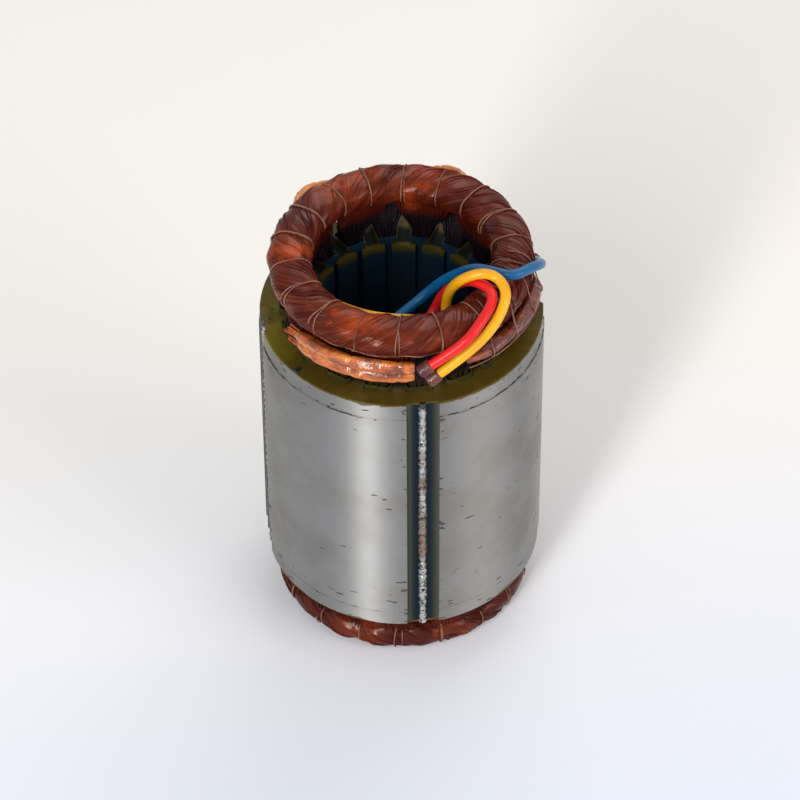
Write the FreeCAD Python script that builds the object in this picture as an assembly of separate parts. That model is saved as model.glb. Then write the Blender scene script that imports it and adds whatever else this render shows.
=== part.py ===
import FreeCAD, Part
import math
import os
from FreeCAD import Vector

# Wound stator core of a small three-phase motor: a welded stack of laminations with a copper winding
# in its slots, laced end windings and three flexible leads tucked into the opening at the top.
# Millimetres. +Z is up, and the origin is on the axis at the lowest point of the bottom winding.

# ---- driving dimensions: the lamination stack ----
CORE_RADIUS = 40.0
CORE_LENGTH = 89.0
END_BAND_HEIGHT = 5.5
END_BAND_STEP = 0.35
BORE_RADIUS = 24.5
SLOT_COUNT = 18
SLOT_OPENING = 1.9
TOOTH_TIP_DEPTH = 1.0
TOOTH_TIP_TAPER = 0.6
TOOTH_WIDTH = 3.5
BACK_IRON = 5.8
SLOT_CORNER = 1.0
EDGE_CHAMFER = 0.3

# ---- the weld seams and their grooves ----
GROOVE_COUNT = 4
GROOVE_WIDTH = 9.2
GROOVE_DEPTH = 1.4
SEAM_WIDTH = 3.4
SEAM_HEIGHT = 1.15
SEAM_STEPS = 8
SEAM_NARROWING = 0.86

# ---- slot insulation ----
LINER_WALL = 0.3
LINER_CLEARANCE = 0.05
TOP_CUFF = 1.6
BOTTOM_CUFF = 2.6
WEDGE_THICKNESS = 0.9

# ---- the coils: each fills two slots and crosses to the other one in both end windings ----
COIL_SPAN = 7
COIL_CLEARANCE = 0.12
COIL_SHARE = 0.21
SECTION_POWER = 2.4
SECTION_TRIM = 0.03
LACE_PINCH = 0.93
HEAD_END_ANGLE = 5.0
INNER_RISER_BACK = 1.8
INNER_RISER_FORWARD = 3.7
OUTER_RISER_BACK = 1.6
OUTER_RISER_FORWARD = 3.4
RISER_THICKNESS = 2.0
RISER_NECK = 0.75
RISER_NECK_RUN = 2.0
RISER_DEPTH_IN_RING = 0.35

# ---- the end windings: reach inwards past the bore's wall, and outwards past the slots' floor ----
TOP_RING_REACH_IN = 1.0
TOP_RING_REACH_OUT = 3.1
TOP_RING_HALF_HEIGHT = 5.0
TOP_RING_RISE = 18.5
BOTTOM_RING_REACH_IN = -1.2
BOTTOM_RING_REACH_OUT = 2.8
BOTTOM_RING_HALF_HEIGHT = 4.3
BOTTOM_RING_DROP = 10.7

# ---- lacing cord round the end windings ----
LACE_WIDTH = 0.8
LACE_THICKNESS = 0.6
LACE_CLEARANCE = 0.2

# ---- star-point sleeves on one side of the lead joints and the phase sleeve on the other ----
# reach past the slots' floor, and depth below the middle of the top winding
STAR_RADIUS = 1.95
LOWER_STAR_REACH = 2.3
LOWER_STAR_DEPTH = 9.9
UPPER_STAR_REACH = 2.95
UPPER_STAR_DEPTH = 6.0
STAR_ARC = (-148.0, -93.0)
PHASE_RADIUS = 2.2
PHASE_REACH = 2.8
PHASE_DEPTH = 7.3
PHASE_ARC = (-70.0, -12.0)
SLEEVE_STEP = 7.0
TUBE_SIDES = 8

# ---- leads ----
LEAD_RADIUS = 1.45
JOINT_RADIUS = 2.0
JOINT_LENGTH = 3.8
ARC_SHARE = 0.45
ARC_STEP = 18.0

# ---- heights that follow from the sizes above ----
LACED_DEPTH = BOTTOM_RING_HALF_HEIGHT * LACE_PINCH + LACE_CLEARANCE + LACE_THICKNESS
CORE_BOTTOM = BOTTOM_RING_DROP + LACED_DEPTH
CORE_TOP = CORE_BOTTOM + CORE_LENGTH
SLOT_FLOOR_RADIUS = CORE_RADIUS - BACK_IRON
SLOT_PITCH = 360.0 / SLOT_COUNT
FIRST_SLOT = -90.0
COIL_COUNT = SLOT_COUNT // 2
COIL_ARC = COIL_SPAN * SLOT_PITCH
COIL_PITCH = 2.0 * SLOT_PITCH
# seen from above each coil winds clockwise from the inside of the ring to its outside
COIL_TURN = -1.0
WEDGE_RADIUS = BORE_RADIUS + TOOTH_TIP_DEPTH + TOOTH_TIP_TAPER
LEG_INNER = WEDGE_RADIUS + WEDGE_THICKNESS + COIL_CLEARANCE
LEG_OUTER = SLOT_FLOOR_RADIUS - LINER_WALL - LINER_CLEARANCE - COIL_CLEARANCE

AXIS_Z = Vector(0, 0, 1)
ORIGIN = Vector(0, 0, 0)

# Lead routes, from the joint to the bare end: x, y and the height above the stack's top face.
LEAD_ROUTES = {
    "yellow": [
        (4.7, -38.2, 10.0), (11.0, -37.4, 14.4), (17.4, -35.5, 18.9), (22.3, -31.8, 22.8),
        (25.2, -27.0, 26.6), (23.4, -21.9, 28.2), (18.9, -20.8, 29.5), (13.2, -19.4, 26.2),
        (11.0, -15.0, 18.2), (9.6, -14.2, 12.2), (6.6, -17.6, 8.4), (0.6, -20.6, 8.8),
        (-6.8, -20.8, 11.0), (-13.8, -17.2, 12.8), (-18.6, -11.0, 13.0),
    ],
    "red": [
        (2.4, -38.6, 14.0), (7.5, -38.4, 17.4), (12.8, -37.5, 21.0), (17.1, -33.6, 23.8),
        (20.8, -28.8, 25.2), (21.2, -23.8, 25.9), (16.6, -18.5, 25.0), (13.6, -12.4, 18.0),
        (10.3, -8.6, 11.4), (7.2, -10.2, 5.4), (1.6, -15.6, 2.6), (-5.0, -20.4, 1.9), (-12.4, -21.3, 1.6),
    ],
    "blue": [
        (37.3, -0.6, 12.6), (37.9, -6.0, 16.6), (37.2, -11.7, 21.5), (33.2, -16.7, 25.3),
        (27.8, -20.4, 26.2), (22.6, -16.8, 25.6), (18.6, -11.4, 22.5), (15.0, -7.8, 17.8),
        (11.2, -4.6, 12.6), (7.0, -3.2, 7.2), (1.2, -5.2, 3.6), (-6.4, -10.2, 2.2), (-13.8, -14.2, 1.7),
        (-20.6, -13.4, 1.6),
    ],
}


def polar(radius, angle, height):
    """Point at a radius, an angle in degrees and a height."""
    turn = math.radians(angle)
    return Vector(radius * math.cos(turn), radius * math.sin(turn), height)


def turned(shape, angle):
    """Copy of a shape turned about the axis of the stator."""
    copy = shape.copy()
    copy.rotate(ORIGIN, AXIS_Z, angle)
    return copy


def closed_wire(points):
    """Closed polygon through the points."""
    return Part.makePolygon(points + [points[0]])


def prism(outline, bottom, height):
    """Upright prism over a list of (x, y) corners."""
    face = Part.Face(closed_wire([Vector(x, y, bottom) for x, y in outline]))
    return face.extrude(Vector(0, 0, height))


def skin(sections):
    """Closed solid through polygons of as many corners each, with flat three-cornered facets."""
    faces = [Part.Face(closed_wire(sections[0])), Part.Face(closed_wire(sections[-1]))]
    for here, there in zip(sections, sections[1:]):
        count = len(here)
        for i in range(count):
            j = (i + 1) % count
            faces.append(Part.Face(closed_wire([here[i], here[j], there[j]])))
            faces.append(Part.Face(closed_wire([here[i], there[j], there[i]])))
    solid = Part.Solid(Part.Shell(faces))
    solid.fix(0.0, 0.0, 0.0)
    if solid.Volume < 0.0:
        solid.reverse()
    return solid


def mirrored(half):
    """Corners of an outline that is symmetric about y = 0, from those of its upper half."""
    return half + [(x, -y) for x, y in reversed(half)]


def slot_half_width(x, clearance=0.0):
    """Half of the slot's width at a distance from the axis, between teeth with parallel sides."""
    half_pitch = math.radians(SLOT_PITCH / 2.0)
    return x * math.tan(half_pitch) - TOOTH_WIDTH / 2.0 / math.cos(half_pitch) - clearance


# ---------------------------------------------------------------- lamination stack
def slot_outline():
    """Section of one slot on the +X side, open to the bore."""
    tip = BORE_RADIUS + TOOTH_TIP_DEPTH
    corner = SLOT_FLOOR_RADIUS - SLOT_CORNER
    half = [
        (BORE_RADIUS - 1.0, SLOT_OPENING / 2.0),
        (tip, SLOT_OPENING / 2.0),
        (WEDGE_RADIUS, slot_half_width(WEDGE_RADIUS)),
        (corner, slot_half_width(corner)),
        (SLOT_FLOOR_RADIUS, slot_half_width(SLOT_FLOOR_RADIUS) - SLOT_CORNER),
    ]
    return mirrored(half)


def lamination_stack():
    """Turned stack with its bore, slots and weld grooves."""
    band_radius = CORE_RADIUS - END_BAND_STEP
    profile = [
        (BORE_RADIUS, CORE_BOTTOM),
        (band_radius - EDGE_CHAMFER, CORE_BOTTOM),
        (band_radius, CORE_BOTTOM + EDGE_CHAMFER),
        (band_radius, CORE_BOTTOM + END_BAND_HEIGHT),
        (CORE_RADIUS, CORE_BOTTOM + END_BAND_HEIGHT),
        (CORE_RADIUS, CORE_TOP - END_BAND_HEIGHT),
        (band_radius, CORE_TOP - END_BAND_HEIGHT),
        (band_radius, CORE_TOP - EDGE_CHAMFER),
        (band_radius - EDGE_CHAMFER, CORE_TOP),
        (BORE_RADIUS, CORE_TOP),
    ]
    face = Part.Face(closed_wire([Vector(r, 0, z) for r, z in profile]))
    body = face.revolve(ORIGIN, AXIS_Z, 360)
    slot = prism(slot_outline(), CORE_BOTTOM - 1.0, CORE_LENGTH + 2.0)
    slots = [turned(slot, FIRST_SLOT + SLOT_PITCH * i) for i in range(SLOT_COUNT)]
    groove = Part.makeBox(
        GROOVE_DEPTH + 1.0,
        GROOVE_WIDTH,
        CORE_LENGTH + 2.0,
        Vector(CORE_RADIUS - GROOVE_DEPTH, -GROOVE_WIDTH / 2.0, CORE_BOTTOM - 1.0),
    )
    grooves = [turned(groove, FIRST_SLOT + 360.0 / GROOVE_COUNT * i) for i in range(GROOVE_COUNT)]
    return body.cut(slots + grooves)


def weld_seam(index):
    """Weld bead on the floor of a groove, a little uneven along its length."""
    floor = CORE_RADIUS - GROOVE_DEPTH
    sections = []
    for step in range(SEAM_STEPS + 1):
        size = 1.0 if step % 2 else SEAM_NARROWING
        half_width = SEAM_WIDTH / 2.0 * size
        crest = floor + SEAM_HEIGHT * size
        height = CORE_BOTTOM + CORE_LENGTH * step / SEAM_STEPS
        half = [
            (floor, half_width),
            (floor + SEAM_HEIGHT * 0.6, half_width * 0.8),
            (crest, half_width * 0.35),
        ]
        sections.append([Vector(x, y, height) for x, y in mirrored(half)])
    return turned(skin(sections), FIRST_SLOT + 360.0 / GROOVE_COUNT * index)


# ---------------------------------------------------------------- slot insulation
def slot_liner(index):
    """Channel of insulating paper round a coil side, standing out of the stack as a cuff."""
    corner = SLOT_FLOOR_RADIUS - SLOT_CORNER
    halves = []
    for inset in (LINER_CLEARANCE, LINER_CLEARANCE + LINER_WALL):
        halves.append([
            (WEDGE_RADIUS, slot_half_width(WEDGE_RADIUS, inset)),
            (corner - inset / 2.0, slot_half_width(corner - inset / 2.0, inset)),
            (SLOT_FLOOR_RADIUS - inset, slot_half_width(SLOT_FLOOR_RADIUS, inset) - SLOT_CORNER),
        ])
    outer, inner = halves
    outline = outer + [(x, -y) for x, y in reversed(outer)] + [(x, -y) for x, y in inner] + inner[::-1]
    height = BOTTOM_CUFF + CORE_LENGTH + TOP_CUFF
    liner = prism(outline, CORE_BOTTOM - BOTTOM_CUFF, height)
    return turned(liner, FIRST_SLOT + SLOT_PITCH * index)


def slot_wedge(index):
    """Strip that closes the slot behind the tooth tips."""
    inset = LINER_CLEARANCE + LINER_WALL + LINER_CLEARANCE
    far = WEDGE_RADIUS + WEDGE_THICKNESS
    half = [
        (WEDGE_RADIUS, slot_half_width(WEDGE_RADIUS, inset)),
        (far, slot_half_width(far, inset)),
    ]
    wedge = prism(mirrored(half), CORE_BOTTOM - BOTTOM_CUFF, BOTTOM_CUFF + CORE_LENGTH + TOP_CUFF)
    return turned(wedge, FIRST_SLOT + SLOT_PITCH * index)


# ---------------------------------------------------------------- winding
class EndRing:
    """Section of one end winding, which bulges over the slots and is pinched by the lacing between."""

    def __init__(self, reach_in, reach_out, half_height, centre):
        inner = BORE_RADIUS - reach_in
        outer = SLOT_FLOOR_RADIUS + reach_out
        self.middle = (inner + outer) / 2.0
        self.half_width = (outer - inner) / 2.0
        self.half_height = half_height
        self.centre = centre

    def pinch(self, angle):
        """Scale of the section: 1 over a slot, LACE_PINCH half-way to the next."""
        wave = math.cos(math.radians(angle) * SLOT_COUNT)
        return LACE_PINCH + (1.0 - LACE_PINCH) * (1.0 + wave) / 2.0

    def corner(self, share, side, angle):
        """Radius and height of the surface: share goes 0 to 1 across, side is 1 above or -1 below."""
        across = (2.0 * share - 1.0) * (1.0 - 2.0 * SECTION_TRIM)
        size = self.pinch(angle)
        rise = (1.0 - abs(across) ** SECTION_POWER) ** (1.0 / SECTION_POWER)
        radius = self.middle + self.half_width * size * across / (1.0 - 2.0 * SECTION_TRIM)
        return radius, self.centre + side * self.half_height * size * rise


TOP_RING = EndRing(
    TOP_RING_REACH_IN, TOP_RING_REACH_OUT, TOP_RING_HALF_HEIGHT, CORE_TOP + TOP_RING_RISE
)
BOTTOM_RING = EndRing(
    BOTTOM_RING_REACH_IN, BOTTOM_RING_REACH_OUT, BOTTOM_RING_HALF_HEIGHT, CORE_BOTTOM - BOTTOM_RING_DROP
)


def coil_shares(angle):
    """Shares of the ring's width between which a coil lies, at an angle from its first slot."""
    low = angle / COIL_ARC * (1.0 - COIL_SHARE)
    return max(low, 0.0), min(low + COIL_SHARE, 1.0)


def coil_head(ring):
    """Band of wires from a coil's first slot to its last, spiralling from the ring's inside outwards."""
    half_pitch = SLOT_PITCH / 2.0
    steps = [half_pitch * i for i in range(2 * COIL_SPAN + 1)]
    angles = [-HEAD_END_ANGLE] + steps + [COIL_ARC + HEAD_END_ANGLE]
    sections = []
    for angle in angles:
        low, high = coil_shares(angle)
        corners = [ring.corner(share, 1, angle) for share in (low, high)]
        corners += [ring.corner(share, -1, angle) for share in (high, low)]
        sections.append([polar(r, COIL_TURN * angle, z) for r, z in corners])
    return skin(sections)


def leg_section(height, inner, outer, inner_half, outer_half, shift=0.0):
    """Four-cornered section of a coil side, on the +X side."""
    return [
        Vector(inner, shift - inner_half, height),
        Vector(outer, shift - outer_half, height),
        Vector(outer, shift + outer_half, height),
        Vector(inner, shift + inner_half, height),
    ]


def riser_sections(ring, first):
    """Sections that carry a coil side from its slot to the ring, in order away from the stack."""
    above = ring.centre > CORE_TOP
    sign = 1.0 if above else -1.0
    underside = ring.centre - sign * ring.half_height
    share = COIL_SHARE / 2.0 if first else 1.0 - COIL_SHARE / 2.0
    at_ring, surface = ring.corner(share, -sign, 0.0)
    way = COIL_TURN if first else -COIL_TURN
    back = INNER_RISER_BACK if first else OUTER_RISER_BACK
    forward = INNER_RISER_FORWARD if first else OUTER_RISER_FORWARD
    half = (back + forward) / 2.0
    shift = way * (forward - back) / 2.0
    thick = RISER_THICKNESS / 2.0
    top = surface + sign * ring.half_height * RISER_DEPTH_IN_RING
    sections = []
    if first:
        sections.append(leg_section(underside, at_ring - thick, at_ring + thick, half, half, shift))
        sections.append(leg_section(top, at_ring - thick, at_ring + thick, half, half, shift))
    else:
        neck = LEG_OUTER + RISER_NECK
        bend = underside - sign * RISER_NECK_RUN
        thin = thick / 2.0
        sections.append(leg_section(bend, neck - RISER_THICKNESS, neck, half, half, shift))
        sections.append(leg_section(underside, neck, neck + thin, half, half, shift))
        sections.append(leg_section(top, at_ring - thin, at_ring + thin, half, half, shift))
    return sections


def coil_side(first):
    """A coil side with its risers, on the +X side."""
    inset = LINER_CLEARANCE + LINER_WALL + COIL_CLEARANCE
    widths = (slot_half_width(LEG_INNER, inset), slot_half_width(SLOT_FLOOR_RADIUS, inset) - SLOT_CORNER)
    leg = [
        leg_section(height, LEG_INNER, LEG_OUTER, *widths)
        for height in (CORE_BOTTOM - BOTTOM_CUFF, CORE_TOP + TOP_CUFF)
    ]
    below = riser_sections(BOTTOM_RING, first)
    above = riser_sections(TOP_RING, first)
    return skin(below[::-1] + leg + above)


def base_coil():
    """One coil whose first side is on the +X side."""
    first_side = coil_side(True)
    last_side = turned(coil_side(False), COIL_TURN * COIL_ARC)
    heads = [coil_head(TOP_RING), coil_head(BOTTOM_RING)]
    return first_side.fuse([last_side] + heads)


# ---------------------------------------------------------------- lacing
def lace_outline(ring, angle, grow):
    """Outline of the whole ring at an angle between two slots, grown by a small offset."""
    shares = set()
    for coil in range(-COIL_COUNT, COIL_COUNT):
        local = angle - COIL_PITCH * coil
        if 0.0 <= local <= COIL_ARC:
            shares.update(coil_shares(local))
    ordered = sorted(shares)
    kept = [s for i, s in enumerate(ordered) if i == 0 or s - ordered[i - 1] > 0.03]
    points = []
    for side, row in ((1, kept), (-1, kept[::-1])):
        for share in row:
            radius, height = ring.corner(share, side, angle)
            size = ring.pinch(angle)
            points.append((
                ring.middle + (radius - ring.middle) * (1.0 + grow / (ring.half_width * size)),
                ring.centre + (height - ring.centre) * (1.0 + grow / (ring.half_height * size)),
            ))
    return points


def lacing(ring):
    """One loop of cord between every two slots, pulled tight round the end winding."""
    loops = []
    for index in range(SLOT_COUNT):
        local = SLOT_PITCH * (index + 0.5)
        rings = []
        for grow in (LACE_CLEARANCE + LACE_THICKNESS, LACE_CLEARANCE):
            outline = lace_outline(ring, local, grow)
            wire = closed_wire([Vector(r, -LACE_WIDTH / 2.0, z) for r, z in outline])
            rings.append(Part.Face(wire).extrude(Vector(0, LACE_WIDTH, 0)))
        loops.append(turned(rings[0].cut(rings[1]), FIRST_SLOT + COIL_TURN * local))
    return Part.makeCompound(loops)


# ---------------------------------------------------------------- sleeves and leads
def tube(centres, section):
    """Tube through a list of centres, from a first section that is carried along without a twist."""
    sections = [section]
    directions = [(b - a).normalize() for a, b in zip(centres, centres[1:])]
    for index in range(1, len(centres)):
        behind = directions[index - 1]
        ahead = directions[min(index, len(directions) - 1)]
        cut = (behind + ahead).normalize()
        moved = []
        for corner in sections[-1]:
            slide = (centres[index] - corner).dot(cut) / behind.dot(cut)
            moved.append(corner + behind * slide)
        sections.append(moved)
    return skin(sections)


def first_section(centre, direction, radius):
    """Regular polygon across the start of a tube, with the area of a circle of that radius."""
    wedge = 2.0 * math.pi / TUBE_SIDES
    reach = radius * math.sqrt(wedge / math.sin(wedge))
    across = direction.cross(AXIS_Z).normalize()
    upwards = across.cross(direction).normalize()
    turns = [wedge * (i + 0.5) for i in range(TUBE_SIDES)]
    return [centre + across * (reach * math.cos(t)) + upwards * (reach * math.sin(t)) for t in turns]


def sleeve(reach, depth, thickness, arc):
    """Varnished sleeve over the ends of coils, bent round the outside of the winding."""
    radius = SLOT_FLOOR_RADIUS + reach
    height = TOP_RING.centre - depth
    start, end = arc
    count = math.ceil((end - start) / SLEEVE_STEP)
    angles = [start + (end - start) * i / count for i in range(count + 1)]
    centres = [polar(radius, angle, height) for angle in angles]
    section = first_section(centres[0], (centres[1] - centres[0]).normalize(), thickness)
    return tube(centres, section)


def rounded_path(points):
    """Straight runs and the largest tangent arcs that they allow: centres, length and arc radii."""
    centres = [points[0]]
    radii = []
    length = 0.0
    start = points[0]
    for before, corner, after in zip(points, points[1:], points[2:]):
        back = (before - corner).normalize()
        ahead = (after - corner).normalize()
        half_turn = (math.pi - back.getAngle(ahead)) / 2.0
        reach = ARC_SHARE * min((before - corner).Length, (after - corner).Length)
        radius = reach / math.tan(half_turn)
        inwards = (back + ahead).normalize()
        middle = corner + inwards * (radius / math.cos(half_turn) - radius)
        entry = corner + back * reach
        leave = corner + ahead * reach
        arc = Part.Arc(entry, middle, leave)
        steps = math.ceil(math.degrees(2.0 * half_turn) / ARC_STEP)
        span = arc.LastParameter - arc.FirstParameter
        centres += [arc.value(arc.FirstParameter + span * i / steps) for i in range(steps + 1)]
        length += (entry - start).Length + arc.length()
        radii.append(radius)
        start = leave
    centres.append(points[-1])
    return centres, length + (points[-1] - start).Length, radii


def lead(name):
    """One flexible lead along its route."""
    points = [Vector(x, y, CORE_TOP + rise) for x, y, rise in LEAD_ROUTES[name]]
    centres, length, radii = rounded_path(points)
    section = first_section(points[0], (points[1] - points[0]).normalize(), LEAD_RADIUS)
    solid = tube(centres, section)
    expected = math.pi * LEAD_RADIUS ** 2 * length
    print(name, "length", round(length, 1), "volume ratio", round(solid.Volume / expected, 4))
    print(name, "radii", [round(r, 1) for r in radii])
    return solid


def lead_joint(name):
    """Sleeve over the joint between a lead and the winding, in line with the lead's first run."""
    first, second = [Vector(x, y, CORE_TOP + rise) for x, y, rise in LEAD_ROUTES[name][:2]]
    back = (first - second).normalize()
    return tube([first, first + back * JOINT_LENGTH], first_section(first, back, JOINT_RADIUS))


# ---------------------------------------------------------------- the whole part
def all_parts():
    """Every piece by its node's name."""
    parts = {"lamination_stack": lamination_stack()}
    for index in range(GROOVE_COUNT):
        parts[f"weld_seam_{index + 1}"] = weld_seam(index)
    for index in range(SLOT_COUNT):
        parts[f"slot_liner_{index + 1:02d}"] = slot_liner(index)
        parts[f"slot_wedge_{index + 1:02d}"] = slot_wedge(index)
    coil = base_coil()
    for index in range(COIL_COUNT):
        phase = "uvw"[index % 3]
        name = f"coil_{phase}{index // 3 + 1}"
        parts[name] = turned(coil, FIRST_SLOT + COIL_TURN * COIL_PITCH * index)
    parts["top_lacing"] = lacing(TOP_RING)
    parts["bottom_lacing"] = lacing(BOTTOM_RING)
    lower_star = sleeve(LOWER_STAR_REACH, LOWER_STAR_DEPTH, STAR_RADIUS, STAR_ARC)
    phase = sleeve(PHASE_REACH, PHASE_DEPTH, PHASE_RADIUS, PHASE_ARC)
    parts["star_sleeve_lower"] = Part.makeCompound([lower_star, phase])
    parts["star_sleeve_upper"] = sleeve(UPPER_STAR_REACH, UPPER_STAR_DEPTH, STAR_RADIUS, STAR_ARC)
    for name in LEAD_ROUTES:
        parts[f"lead_{name}"] = lead(name)
        parts[f"joint_sleeve_{name}"] = lead_joint(name)
    return parts


def main():
    """Write one STEP file for each piece."""
    os.makedirs("parts", exist_ok=True)
    for name, shape in all_parts().items():
        if not shape.isValid() or shape.Volume <= 0.0:
            print("check the solid of", name, shape.ShapeType, shape.isValid(), shape.Volume)
        shape.exportStep(f"parts/{name}.step")


main()
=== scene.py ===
"""Dressed model of a small wound stator core: a welded stack with laced windings and three leads."""
import logging
import random
from dataclasses import dataclass, field
from enum import Enum
from math import asin, atan2, copysign, cos, degrees, exp, hypot, pi, radians, sin, sqrt, tan
from typing import Callable, Iterator, Sequence

import bmesh
import bpy
from mathutils import Matrix, Vector
from mathutils import noise as cloud
from mathutils.geometry import tessellate_polygon


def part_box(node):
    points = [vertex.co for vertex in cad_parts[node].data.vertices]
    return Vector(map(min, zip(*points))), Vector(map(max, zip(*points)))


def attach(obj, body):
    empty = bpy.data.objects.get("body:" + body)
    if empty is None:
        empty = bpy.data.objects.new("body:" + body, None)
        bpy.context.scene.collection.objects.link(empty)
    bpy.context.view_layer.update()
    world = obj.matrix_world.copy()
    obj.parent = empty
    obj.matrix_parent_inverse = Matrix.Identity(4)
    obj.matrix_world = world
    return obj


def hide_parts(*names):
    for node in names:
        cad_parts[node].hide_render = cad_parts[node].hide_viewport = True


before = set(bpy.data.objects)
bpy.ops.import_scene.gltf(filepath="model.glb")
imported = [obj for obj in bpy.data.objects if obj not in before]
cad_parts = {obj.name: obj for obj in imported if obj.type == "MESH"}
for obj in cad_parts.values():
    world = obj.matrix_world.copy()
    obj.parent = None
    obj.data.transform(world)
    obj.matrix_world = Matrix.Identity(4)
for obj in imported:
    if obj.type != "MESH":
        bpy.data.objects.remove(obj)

Socket = bpy.types.NodeSocket
Material = bpy.types.Material
Mesh = bpy.types.Mesh
Colour = tuple[float, float, float]
Path = list[Vector]
Outline = list[tuple[float, float]]

LOG = logging.getLogger("stator")
MM = 0.001
BODY = "root"
UP = Vector((0.0, 0.0, 1.0))
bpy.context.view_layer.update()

SLOTS = 18
SLOT_PITCH = 360.0 / SLOTS
FIRST_SLOT = -90.0
FIRST_LACE = FIRST_SLOT + SLOT_PITCH / 2.0
COILS = 9
COIL_NAMES = [f"{'uvw'[i % 3]}{i // 3 + 1}" for i in range(COILS)]
LEAD_RADIUS = 1.45
WIRE_START = 235.0  # angle round the section where a wire comes up inside the ring, in degrees
WIRE_ARC = 300.0  # how far round the section it goes from there


# ---------------- small helpers
def polar(radius: float, turn: float, height: float) -> Vector:
    """Point at a radius, an angle in degrees and a height, in millimetres."""
    return Vector((radius * cos(radians(turn)), radius * sin(radians(turn)), height))


def turn_of(place: Vector) -> float:
    """Angle of a place about the axis, in degrees."""
    return degrees(atan2(place.y, place.x))


def spun(turn: float) -> Matrix:
    """Rotation about the axis by an angle in degrees."""
    return Matrix.Rotation(radians(turn), 3, "Z")


def wavy(x: float, y: float, z: float) -> float:
    """Smooth noise between about -1 and 1 at a place."""
    return cloud.noise(Vector((x, y, z)))


def clamped(value: float, low: float = 0.0, high: float = 1.0) -> float:
    """The value, held between two limits."""
    return max(low, min(high, value))


def mixed(a: float, b: float, share: float) -> float:
    """Value between a and b."""
    return a + (b - a) * share


def signed_power(value: float, power: float) -> float:
    """Power of a number that keeps its sign."""
    return copysign(abs(value) ** power, value)


def shares(count: int) -> Iterator[float]:
    """Even steps from 0 to 1."""
    return (step / count for step in range(count + 1))


def off_lace(turn: float) -> float:
    """Angle from the nearest pull of lacing, in degrees."""
    return (turn - FIRST_LACE + SLOT_PITCH / 2.0) % SLOT_PITCH - SLOT_PITCH / 2.0


def section_frame(direction: Vector, guide: Vector = UP) -> tuple[Vector, Vector]:
    """Two unit directions across a path, the first as near as can be to a guide."""
    first = (guide - direction * guide.dot(direction)).normalized()
    return first, direction.cross(first)


def across(frame_axes: tuple[Vector, Vector], reach: float, turn: float) -> Vector:
    """Offset at a reach and an angle in radians between two directions."""
    return frame_axes[0] * (reach * cos(turn)) + frame_axes[1] * (reach * sin(turn))


def placed(name: str, data: bpy.types.ID) -> bpy.types.Object:
    """New object in the scene."""
    piece = bpy.data.objects.new(name, data)
    bpy.context.scene.collection.objects.link(piece)
    return piece


def taken(carrier: bpy.types.Object) -> Mesh:
    """Plain mesh of an object with its modifiers applied; the object is removed."""
    graph = bpy.context.evaluated_depsgraph_get()
    mesh = bpy.data.meshes.new_from_object(carrier.evaluated_get(graph), depsgraph=graph)
    bpy.data.objects.remove(carrier)
    return mesh


@dataclass
class Shell:
    """Points in millimetres and faces of a mesh that is being made.

    Args:
        points: the corners.
        faces: the faces, as indices of corners.
    """

    points: Path = field(default_factory=list)
    faces: list[tuple[int, ...]] = field(default_factory=list)

    def skin(self, sections: Sequence[Path], closed: bool = False) -> int:
        """Join an open skin through sections of as many corners each.

        Args:
            sections: closed sections, in order.
            closed: whether the last section meets the first.

        Returns:
            Index of the first new corner.
        """
        base, count, rows = len(self.points), len(sections[0]), len(sections)
        self.points += [p for section in sections for p in section]
        for row in range(rows if closed else rows - 1):
            here, there = base + row * count, base + (row + 1) % rows * count
            for i in range(count):
                j = (i + 1) % count
                self.faces.append((here + i, here + j, there + j, there + i))
        return base

    def loft(self, sections: Sequence[Path]) -> None:
        """Join a skin through sections, with a cap on each end."""
        base, count = self.skin(sections), len(sections[0])
        last = len(self.points) - count
        self.faces.append(tuple(base + i for i in reversed(range(count))))
        self.faces.append(tuple(last + i for i in range(count)))

    def mesh(self, name: str, sharp: float) -> Mesh:
        """Blender mesh in metres, with its faces outwards.

        Args:
            name: name of the mesh.
            sharp: angle in degrees above which an edge stays sharp.

        Returns:
            The mesh.
        """
        mesh = bpy.data.meshes.new(name)
        mesh.from_pydata([p * MM for p in self.points], [], self.faces)
        bm = bmesh.new()
        bm.from_mesh(mesh)
        bmesh.ops.recalc_face_normals(bm, faces=bm.faces)
        for face in bm.faces:
            face.smooth = True
        bm.to_mesh(mesh)
        bm.free()
        mesh.set_sharp_from_angle(angle=radians(sharp))
        return mesh


def tube_mesh(name: str, path: Path, radius: Callable[[float, float], float], sides: int, sharp: float) -> Mesh:
    """Mesh of a tube along a path.

    Args:
        name: name of the mesh.
        path: centres of the sections.
        radius: radius at a share of the length and an angle round the section, in radians.
        sides: corners of a section.
        sharp: angle in degrees above which an edge stays sharp.

    Returns:
        The mesh.
    """
    sections = []
    last = len(path) - 1
    guide = UP
    for index, centre in enumerate(path):
        ahead = path[min(index + 1, last)] - path[max(index - 1, 0)]
        axes = section_frame(ahead.normalized(), guide)
        guide = axes[0]
        turns = [2.0 * pi * step / sides for step in range(sides)]
        sections.append([centre + across(axes, radius(index / last, turn), turn) for turn in turns])
    shell = Shell()
    shell.loft(sections)
    return shell.mesh(name, sharp)


# ---------------- nodes and materials
class Finish(Enum):
    """The record's material slots."""

    STEEL = "core_steel"
    WELD = "weld_metal"
    PAPER = "slot_insulation"
    WEDGE = "wedge_strip"
    WINDING = "varnished_winding"
    CORD = "lacing_cord"
    AMBER = "amber_sleeving"
    JOINT = "joint_sleeving"
    YELLOW = "lead_yellow"
    RED = "lead_red"
    BLUE = "lead_blue"


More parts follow.
